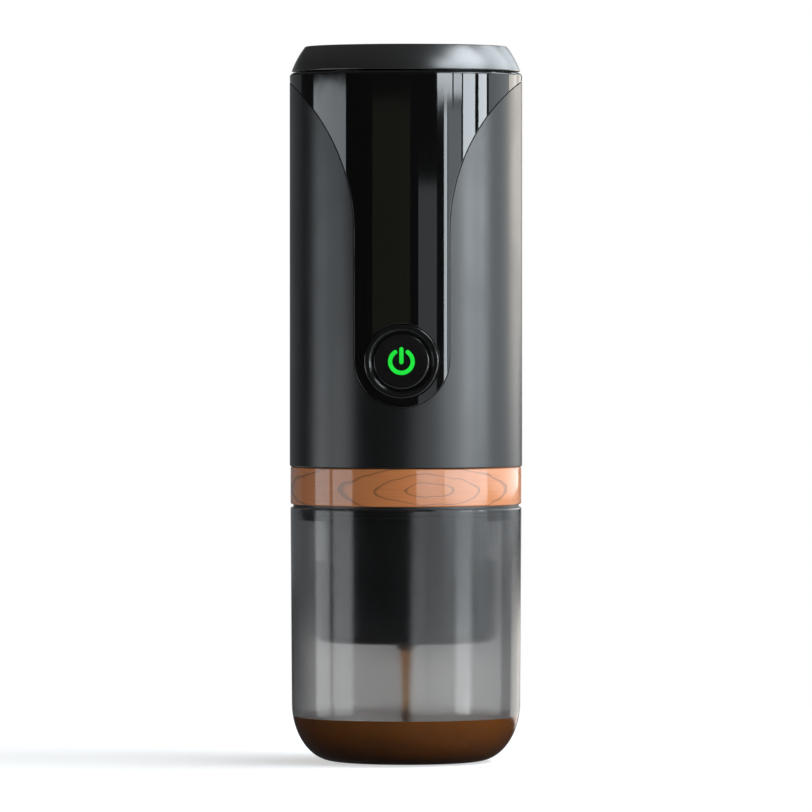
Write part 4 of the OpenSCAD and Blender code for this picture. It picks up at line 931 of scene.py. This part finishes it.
smears, given, where, result = new_group(
    "hand_smears", [("Scale", 60.0), ("Clean", 0.05), ("Smeared", 0.12)], ["Roughness"]
)
wipe = add_node(smears, "Mapping", Scale=(1.0, 1.0, 0.35))
wave = add_node(smears, "TexNoise", Detail=5.0, Roughness=0.6, Distortion=1.2)
mask = ramp(smears, 0.48, 0.74)
join(
    smears,
    (where, "Object", wipe, "Vector"),
    (wipe, "Vector", wave, "Vector"),
    (given, "Scale", wave, "Scale"),
    (wave, "Fac", mask, "Value"),
    (given, "Clean", mask, "To Min"),
    (given, "Smeared", mask, "To Max"),
    (mask, "Result", result, "Roughness"),
)
print("groups", [g.name for g in bpy.data.node_groups])

# %% [markdown]
# Metal parts that were spun or drawn carry fine lines round their axis. The group finds the height along Z
# and the distance from the axis, and reads a noise that is stretched along the turn.

# %% Turning lines
lines, given, where, result = new_group(
    "turning_lines", [("Scale", 900.0), ("Low", 0.2), ("High", 0.42)], ["Height", "Roughness"]
)
apart = add_node(lines, "SeparateXYZ")
flat_xy = add_node(lines, "CombineXYZ")
from_axis = add_node(lines, "VectorMath", operation="LENGTH")
sweep = add_node(lines, "CombineXYZ")
streak = add_node(lines, "TexNoise", Detail=3.0, Roughness=0.7)
rough = ramp(lines, 0.3, 0.7, curve="LINEAR")
join(
    lines,
    (where, "Object", apart, "Vector"),
    (apart, "X", flat_xy, "X"),
    (apart, "Y", flat_xy, "Y"),
    (flat_xy, "Vector", from_axis, 0),
    (from_axis, "Value", sweep, "X"),
    (apart, "Z", sweep, "Z"),
    (sweep, "Vector", streak, "Vector"),
    (given, "Scale", streak, "Scale"),
    (streak, "Fac", result, "Height"),
    (streak, "Fac", rough, "Value"),
    (given, "Low", rough, "To Min"),
    (given, "High", rough, "To Max"),
    (rough, "Result", result, "Roughness"),
)
print("turning lines nodes", len(lines.nodes))

# %% [markdown]
# ## Finishes
#
# Every finish starts from the Principled shader. What is the same all over is set on the shader's own
# sockets, and what changes over the surface is linked. The helpers make the material, mix two tones by the
# patches of the mould texture, and add a bump from its pebble.

# %% A maker of moulded finishes
def new_finish(name, **sockets):
    """A material with a Principled shader, whose sockets are set by name."""
    finish = bpy.data.materials.new(name)
    finish.use_nodes = True
    shader = finish.node_tree.nodes["Principled BSDF"]
    for label, value in sockets.items():
        shader.inputs[label.replace("_", " ")].default_value = value
    return finish, finish.node_tree, shader


def use_group(tree, group, **values):
    """Places a node group in a material, with its inputs set by name."""
    node = tree.nodes.new("ShaderNodeGroup")
    node.node_tree = group
    for label, value in values.items():
        node.inputs[label.replace("_", " ")].default_value = value
    return node


def clouded(tree, shader, dark, light, pebble, patch, into="Base Color"):
    """Mixes two tones by the patches of the mould texture into a colour of the shader."""
    texture = use_group(tree, mould, Pebble_Scale=pebble, Patch_Scale=patch)
    tones = two_tones(tree, dark, light)
    join(
        tree,
        (texture, "Patches", tones, "Factor"),
        (tones, "Result", shader, into),
    )
    return texture


def embossed(tree, shader, source, output, strength, distance=0.00002):
    """Gives the shader a fine relief from the output of a node."""
    relief = add_node(tree, "Bump", Strength=strength, Distance=distance)
    join(
        tree,
        (source, output, relief, "Height"),
        (relief, "Normal", shader, "Normal"),
    )


def moulded(name, dark, light, roughness, pebble, patch, bump, **sockets):
    """A moulded finish: two tones, a range of roughness and a fine pebble."""
    finish, tree, shader = new_finish(name, **sockets)
    texture = clouded(tree, shader, dark, light, pebble, patch)
    sheen = ramp(tree, 0.0, 1.0, *roughness, curve="LINEAR")
    join(
        tree,
        (texture, "Patches", sheen, "Value"),
        (sheen, "Result", shader, "Roughness"),
    )
    embossed(tree, shader, texture, "Height", bump)
    return finish


# %% [markdown]
# The body is satin black, the inner plastic a plainer black, the silicone dull and soft, and the frame
# inside a dark grey. They differ in tone, in how rough they are, and in how coarse the pebble of the mould
# is: each line ends with the scale of the pebble, the scale of the patches and the height of the pebble.

# %% Moulded plastics and silicone
SATIN_DARK, SATIN_LIGHT = (0.0034, 0.0036, 0.0040), (0.0046, 0.0049, 0.0054)

casing = moulded("satin_casing", SATIN_DARK, SATIN_LIGHT, (0.29, 0.33), 7000, 38, 0.10)
dark_plastic = moulded(
    "moulded_black", (0.006, 0.006, 0.0066), (0.010, 0.010, 0.011), (0.34, 0.46), 5000, 70, 0.15
)
button_plastic = moulded(
    "button_black", (0.0024, 0.0024, 0.0026), (0.004, 0.004, 0.0043), (0.17, 0.22), 8000, 90, 0.06
)
silicone = moulded(
    "soft_silicone", (0.014, 0.014, 0.015), (0.024, 0.024, 0.026), (0.62, 0.78), 4000, 120, 0.25,
    Sheen_Weight=0.2, Sheen_Roughness=0.5,
)
frame_grey = moulded(
    "moulded_grey", (0.050, 0.050, 0.054), (0.075, 0.074, 0.078), (0.42, 0.55), 4500, 60, 0.2
)
board_green = moulded(
    "solder_mask", (0.010, 0.075, 0.032), (0.018, 0.115, 0.05), (0.22, 0.38), 2500, 160, 0.3,
    Coat_Weight=0.4, Coat_Roughness=0.15,
)
sleeve = moulded(
    "cell_sleeve", (0.012, 0.055, 0.23), (0.022, 0.08, 0.30), (0.18, 0.32), 3000, 80, 0.1
)
print("moulded finishes", sorted(m.name for m in bpy.data.materials))

# %% [markdown]
# The panel and the lid are polished black. A polished surface shows its life in the roughness: mostly
# clean, with faint wiped smears. Only the lid's flat top is matte, with the pebble of its mould.

# %% Polished black
def polished(name, tone, clean, smeared, scale, **sockets):
    """A polished finish: one tone with lighter clouds, and smears that dull it."""
    finish, tree, shader = new_finish(name, **sockets)
    texture = clouded(tree, shader, tone, [1.6 * c for c in tone], 9000.0, 30.0)
    wiped = use_group(tree, smears, Scale=scale, Clean=clean, Smeared=smeared)
    join(tree, (wiped, "Roughness", shader, "Roughness"))
    embossed(tree, shader, texture, "Height", 0.012)
    return finish


gloss_panel = polished("polished_panel", (0.0018, 0.0018, 0.0017), 0.035, 0.085, 55.0)
gloss_lid = polished(
    "satin_lid", (0.0024, 0.0025, 0.0027), 0.30, 0.36, 40.0,
    Coat_Weight=1.0, Coat_Roughness=0.28, Coat_IOR=1.65,
)
lid_flat = moulded("matte_lid_top", SATIN_DARK, SATIN_LIGHT, (0.44, 0.50), 7000, 38, 0.12)
print("lid finishes", gloss_lid.name, lid_flat.name)

# %% [markdown]
# ## Smoky clear plastic
#
# The cup is clear but grey. Its tint is painted darker above, as painted shade under the machine, and is
# lighter towards the foot. Outside it is polished, and inside it is frosted, so the reflections on it are
# clear while what it holds looks soft. One material can't be both, so there are two: the same smoke with two
# ranges of roughness. Light is tinted each time that it crosses a surface, and more at the sides, where it
# goes through a longer stretch of the wall. That is what the Layer Weight is for.

# %% Smoky cup
# The upper tone is painted shade under the machine, mixed in between the two heights below.
SMOKE_LOW, SMOKE_SHADED_HIGH, SMOKE_SIDES = (0.49, 0.487, 0.484), (0.30, 0.305, 0.31), (0.17, 0.172, 0.175)
SHADE_STARTS, SHADE_FULL, CLOUD_PUSH = 0.030, 0.056, 0.006


def by_height(tree, source, output, push, heights, low, high):
    """Mixes two tones between two heights, which the output of a node pushes up and down."""
    place = add_node(tree, "TexCoord")
    apart = add_node(tree, "SeparateXYZ")
    drift = maths(tree, "MULTIPLY_ADD", push)
    rise = ramp(tree, *heights)
    tones = two_tones(tree, low, high)
    join(
        tree,
        (place, "Object", apart, "Vector"),
        (source, output, drift, 0),
        (apart, "Z", drift, 2),
        (drift, "Value", rise, "Value"),
        (rise, "Result", tones, "Factor"),
    )
    return tones


def smoke(name, clear, frosted):
    """Smoky clear plastic with a range of roughness, its tint painted darker above as shade."""
    finish, tree, shader = new_finish(name, Transmission_Weight=1.0, IOR=1.47)
    frost = use_group(tree, smears, Scale=35.0, Clean=clear, Smeared=frosted)
    cloud = use_group(tree, mould, Pebble_Scale=300.0, Patch_Scale=25.0)
    heights = (SHADE_STARTS, SHADE_FULL)
    # Painted shade: the smoke turns darker from the lower height to the upper one.
    tint = by_height(tree, cloud, "Patches", CLOUD_PUSH, heights, SMOKE_LOW, SMOKE_SHADED_HIGH)
    slant = add_node(tree, "LayerWeight", Blend=0.5)
    stretch = ramp(tree, 0.35, 0.90, curve="LINEAR")
    sides = add_node(tree, "Mix", data_type="RGBA", B=(*SMOKE_SIDES, 1))
    join(
        tree,
        (frost, "Roughness", shader, "Roughness"),
        (slant, "Facing", stretch, "Value"),
        (stretch, "Result", sides, "Factor"),
        (tint, "Result", sides, "A"),
        (sides, "Result", shader, "Base Color"),
    )
    return finish


smoky = smoke("smoky_clear", 0.15, 0.20)
smoky_inside = smoke("smoky_frosted", 0.20, 0.25)
print("smoke", smoky.name, smoky_inside.name)

# %% [markdown]
# ## Coffee
#
# Coffee is nearly black in depth and brown where it is thin, and here that is painted: the colour runs from
# dark at the bottom to brown at the top, as painted shade deep in the drink, with a slow swirl. The stream
# is so thin that light shines through it, so most of it is see-through.

# %% Coffee finishes
SWIRL = 0.004


def brew(name, low, high, heights, **sockets):
    """Coffee, whose colour changes between two heights that a swirl pushes up and down."""
    finish, tree, shader = new_finish(name, IOR=1.34, **sockets)
    place = add_node(tree, "TexCoord")
    swirl = add_node(tree, "TexNoise", Scale=90.0, Detail=3.0, Distortion=1.5)
    tones = by_height(tree, swirl, "Fac", SWIRL, [h + SWIRL / 2 for h in heights], low, high)
    join(
        tree,
        (place, "Object", swirl, "Vector"),
        (tones, "Result", shader, "Base Color"),
    )
    return finish


# Painted shade: the drink is dark at the bottom and brown towards the top.
coffee_brown = brew(
    "coffee_brown", (0.18, 0.052, 0.004), (0.39, 0.108, 0.008), (0.002, 0.014), Roughness=0.04
)
stream_brown = brew(
    "stream_brown", (0.97, 0.50, 0.10), (0.86, 0.40, 0.15), (0.014, 0.034),
    Roughness=0.12, Transmission_Weight=0.85,
)
print("brew finishes", coffee_brown.name, stream_brown.name)

# %% [markdown]
# ## The wooden band
#
# The band is turned from one block and lacquered. Its grain runs round the machine, so the pattern is
# drawn in two lengths: the way round from the heart, and the height. Growth rings are ovals near the
# heart, pushed out of shape by a noise. The arctangent slows them down further round, where they run out
# into level lines, as on a real board.

# %% Wood: from the heart outwards
BAND_RADIUS = 0.0358
HEART_ROUND, HEART_HEIGHT = 0.0085, 0.0848
OVAL, FARTHEST = 0.34, 0.009
WAVER_PUSH = (0.014, 0.0044, 0.0)

wood, tree, shader = new_finish(
    "lacquered_wood", Coat_Weight=0.9, Coat_Roughness=0.04, Specular_IOR_Level=0.3
)
place = add_node(tree, "TexCoord")
heart_ahead = add_node(tree, "Mapping", Rotation=(0, 0, -HEART_ROUND / BAND_RADIUS))
apart = add_node(tree, "SeparateXYZ")
ahead = maths(tree, "MULTIPLY", -1.0)
turn = maths(tree, "ARCTAN2")
round_way = maths(tree, "MULTIPLY", BAND_RADIUS)
board = add_node(tree, "CombineXYZ")
to_heart = add_node(tree, "Mapping", Location=(0.0, -HEART_HEIGHT, 0.0))
waver = add_node(tree, "TexNoise", Scale=70.0, Detail=2.0, Roughness=0.5)
centred = add_node(tree, "VectorMath", operation="SUBTRACT")
centred.inputs[1].default_value = (0.5, 0.5, 0.5)
pushed = add_node(tree, "VectorMath", operation="MULTIPLY_ADD")
pushed.inputs[1].default_value = WAVER_PUSH
two_ways = add_node(tree, "SeparateXYZ")
longways = maths(tree, "MULTIPLY", OVAL / FARTHEST)
slowed = maths(tree, "ARCTANGENT")
run_out = maths(tree, "MULTIPLY", FARTHEST)
oval = add_node(tree, "CombineXYZ")
ring_out = add_node(tree, "VectorMath", operation="LENGTH")
join(
    tree,
    (place, "Object", heart_ahead, "Vector"),
    (heart_ahead, "Vector", apart, "Vector"),
    (apart, "Y", ahead, 0),
    (apart, "X", turn, 0),
    (ahead, "Value", turn, 1),
    (turn, "Value", round_way, 0),
    (round_way, "Value", board, "X"),
    (apart, "Z", board, "Y"),
    (board, "Vector", to_heart, "Vector"),
    (place, "Object", waver, "Vector"),
    (waver, "Color", centred, 0),
    (centred, "Vector", pushed, 0),
    (to_heart, "Vector", pushed, 2),
    (pushed, "Vector", two_ways, "Vector"),
    (two_ways, "X", longways, 0),
    (longways, "Value", slowed, 0),
    (slowed, "Value", run_out, 0),
    (run_out, "Value", oval, "X"),
    (two_ways, "Y", oval, "Y"),
    (oval, "Vector", ring_out, 0),
)

# %% [markdown]
# A ring is a thin dark line that comes back after each step outwards. Fine fibres follow the way round,
# and a clear coat gives the sharp reflections.

# %% Wood: rings, fibres and lacquer
RING_STEP = 0.0026

rings = maths(tree, "MULTIPLY", 1 / RING_STEP)
saw = maths(tree, "FRACT")
line = ramp(tree, 0.84, 0.95)
faint = ramp(tree, 0.0, 1.0, 0.0, 0.6, curve="LINEAR")
along = add_node(tree, "Mapping", Scale=(60.0, 60.0, 2600.0))
fibre = add_node(tree, "TexNoise", Scale=1.0, Detail=4.0, Roughness=0.6)
tones = two_tones(tree, (0.45, 0.142, 0.041), (0.65, 0.230, 0.074))
grain = add_node(tree, "Mix", data_type="RGBA", B=(0.13, 0.058, 0.03, 1))
gloss = ramp(tree, 0.0, 1.0, 0.30, 0.45, curve="LINEAR")
join(
    tree,
    (ring_out, "Value", rings, 0),
    (rings, "Value", saw, 0),
    (saw, "Value", line, "Value"),
    (line, "Result", faint, "Value"),
    (place, "Object", along, "Vector"),
    (along, "Vector", fibre, "Vector"),
    (fibre, "Fac", tones, "Factor"),
    (tones, "Result", grain, "A"),
    (faint, "Result", grain, "Factor"),
    (grain, "Result", shader, "Base Color"),
    (fibre, "Fac", gloss, "Value"),
    (gloss, "Result", shader, "Roughness"),
)
embossed(tree, shader, fibre, "Fac", 0.12, 0.00004)
print("wood nodes", len(tree.nodes))

# %% [markdown]
# ## Metals and the lamp
#
# Steel, aluminium and copper share the turning lines and differ in colour and in how rough they are.

# %% Metals
def metal(name, dark, light, low, high, scale):
    """A metal finish: two tones, and turning lines with a range of roughness."""
    finish, tree, shader = new_finish(name, Metallic=1.0)
    clouded(tree, shader, dark, light, 3500.0, 110.0)
    marks = use_group(tree, lines, Scale=scale, Low=low, High=high)
    join(tree, (marks, "Roughness", shader, "Roughness"))
    embossed(tree, shader, marks, "Height", 0.06, 0.00003)
    return finish


steel = metal("brushed_steel", (0.52, 0.53, 0.55), (0.62, 0.63, 0.64), 0.20, 0.36, 1500.0)
aluminium = metal("cast_aluminium", (0.60, 0.61, 0.62), (0.72, 0.73, 0.74), 0.38, 0.55, 600.0)
copper = metal("plain_copper", (0.56, 0.25, 0.12), (0.70, 0.36, 0.20), 0.25, 0.42, 1200.0)
print("metals", steel.name, aluminium.name, copper.name)

# %% [markdown]
# The lit mark glows by itself, in two greens that change over its strokes.

# %% Lit mark
lamp_green, tree, shader = new_finish(
    "lit_green", Base_Color=(0.004, 0.10, 0.012, 1), Roughness=0.3, Emission_Strength=1.0
)
clouded(tree, shader, (0.005, 0.66, 0.031), (0.007, 0.75, 0.041), 4000.0, 350.0, into="Emission Color")
print("finishes", sorted(m.name for m in bpy.data.materials))

# %% [markdown]
# ## Giving each piece its finish
#
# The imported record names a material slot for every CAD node, so the finishes go on by slot. The new pieces
# follow.

# %% Assign
by_slot = {
    "smoky_clear": smoky, "casing": casing, "panel": gloss_panel, "band": wood, "lamp": lamp_green,
    "dark_plastic": dark_plastic, "steel": steel, "silicone": silicone, "board": board_green,
    "cell": sleeve, "frame": frame_grey, "aluminium": aluminium, "copper": copper,
}
new_pieces = [
    (cup, smoky), (coffee, coffee_brown), (stream, stream_brown), (stream_foot, stream_brown),
    (lid, gloss_lid), (ring, button_plastic), (cap, button_plastic), (panel, gloss_panel),
    (flap, silicone), (coil, steel),
]


def dress(piece, finish):
    """Gives a piece one finish all over."""
    piece.data.materials.clear()
    piece.data.materials.append(finish)


for subpart in frame["record"]["subparts"]:
    dress(frame["nodes"][subpart["node"]], by_slot[subpart["material_slot"]])
for piece, finish in new_pieces:
    dress(piece, finish)

# %% [markdown]
# Two pieces take a second finish on some of their faces: the lid on its flat top, and the cup on its
# inside, which is every face that looks towards the cup's middle.

# %% Second finishes
LEVEL_NORMAL = 0.999
cup_middle = Vector((0, 0, 0.045))

lid.data.materials.append(lid_flat)
for face in lid.data.polygons:
    face.material_index = int(face.normal.z > LEVEL_NORMAL)
cup.data.materials.append(smoky_inside)
for face in cup.data.polygons:
    face.material_index = int(face.normal.dot(cup_middle - face.center) > 0)
for piece in (lid, cup):
    print(piece.name, "faces of the second finish", sum(f.material_index for f in piece.data.polygons))
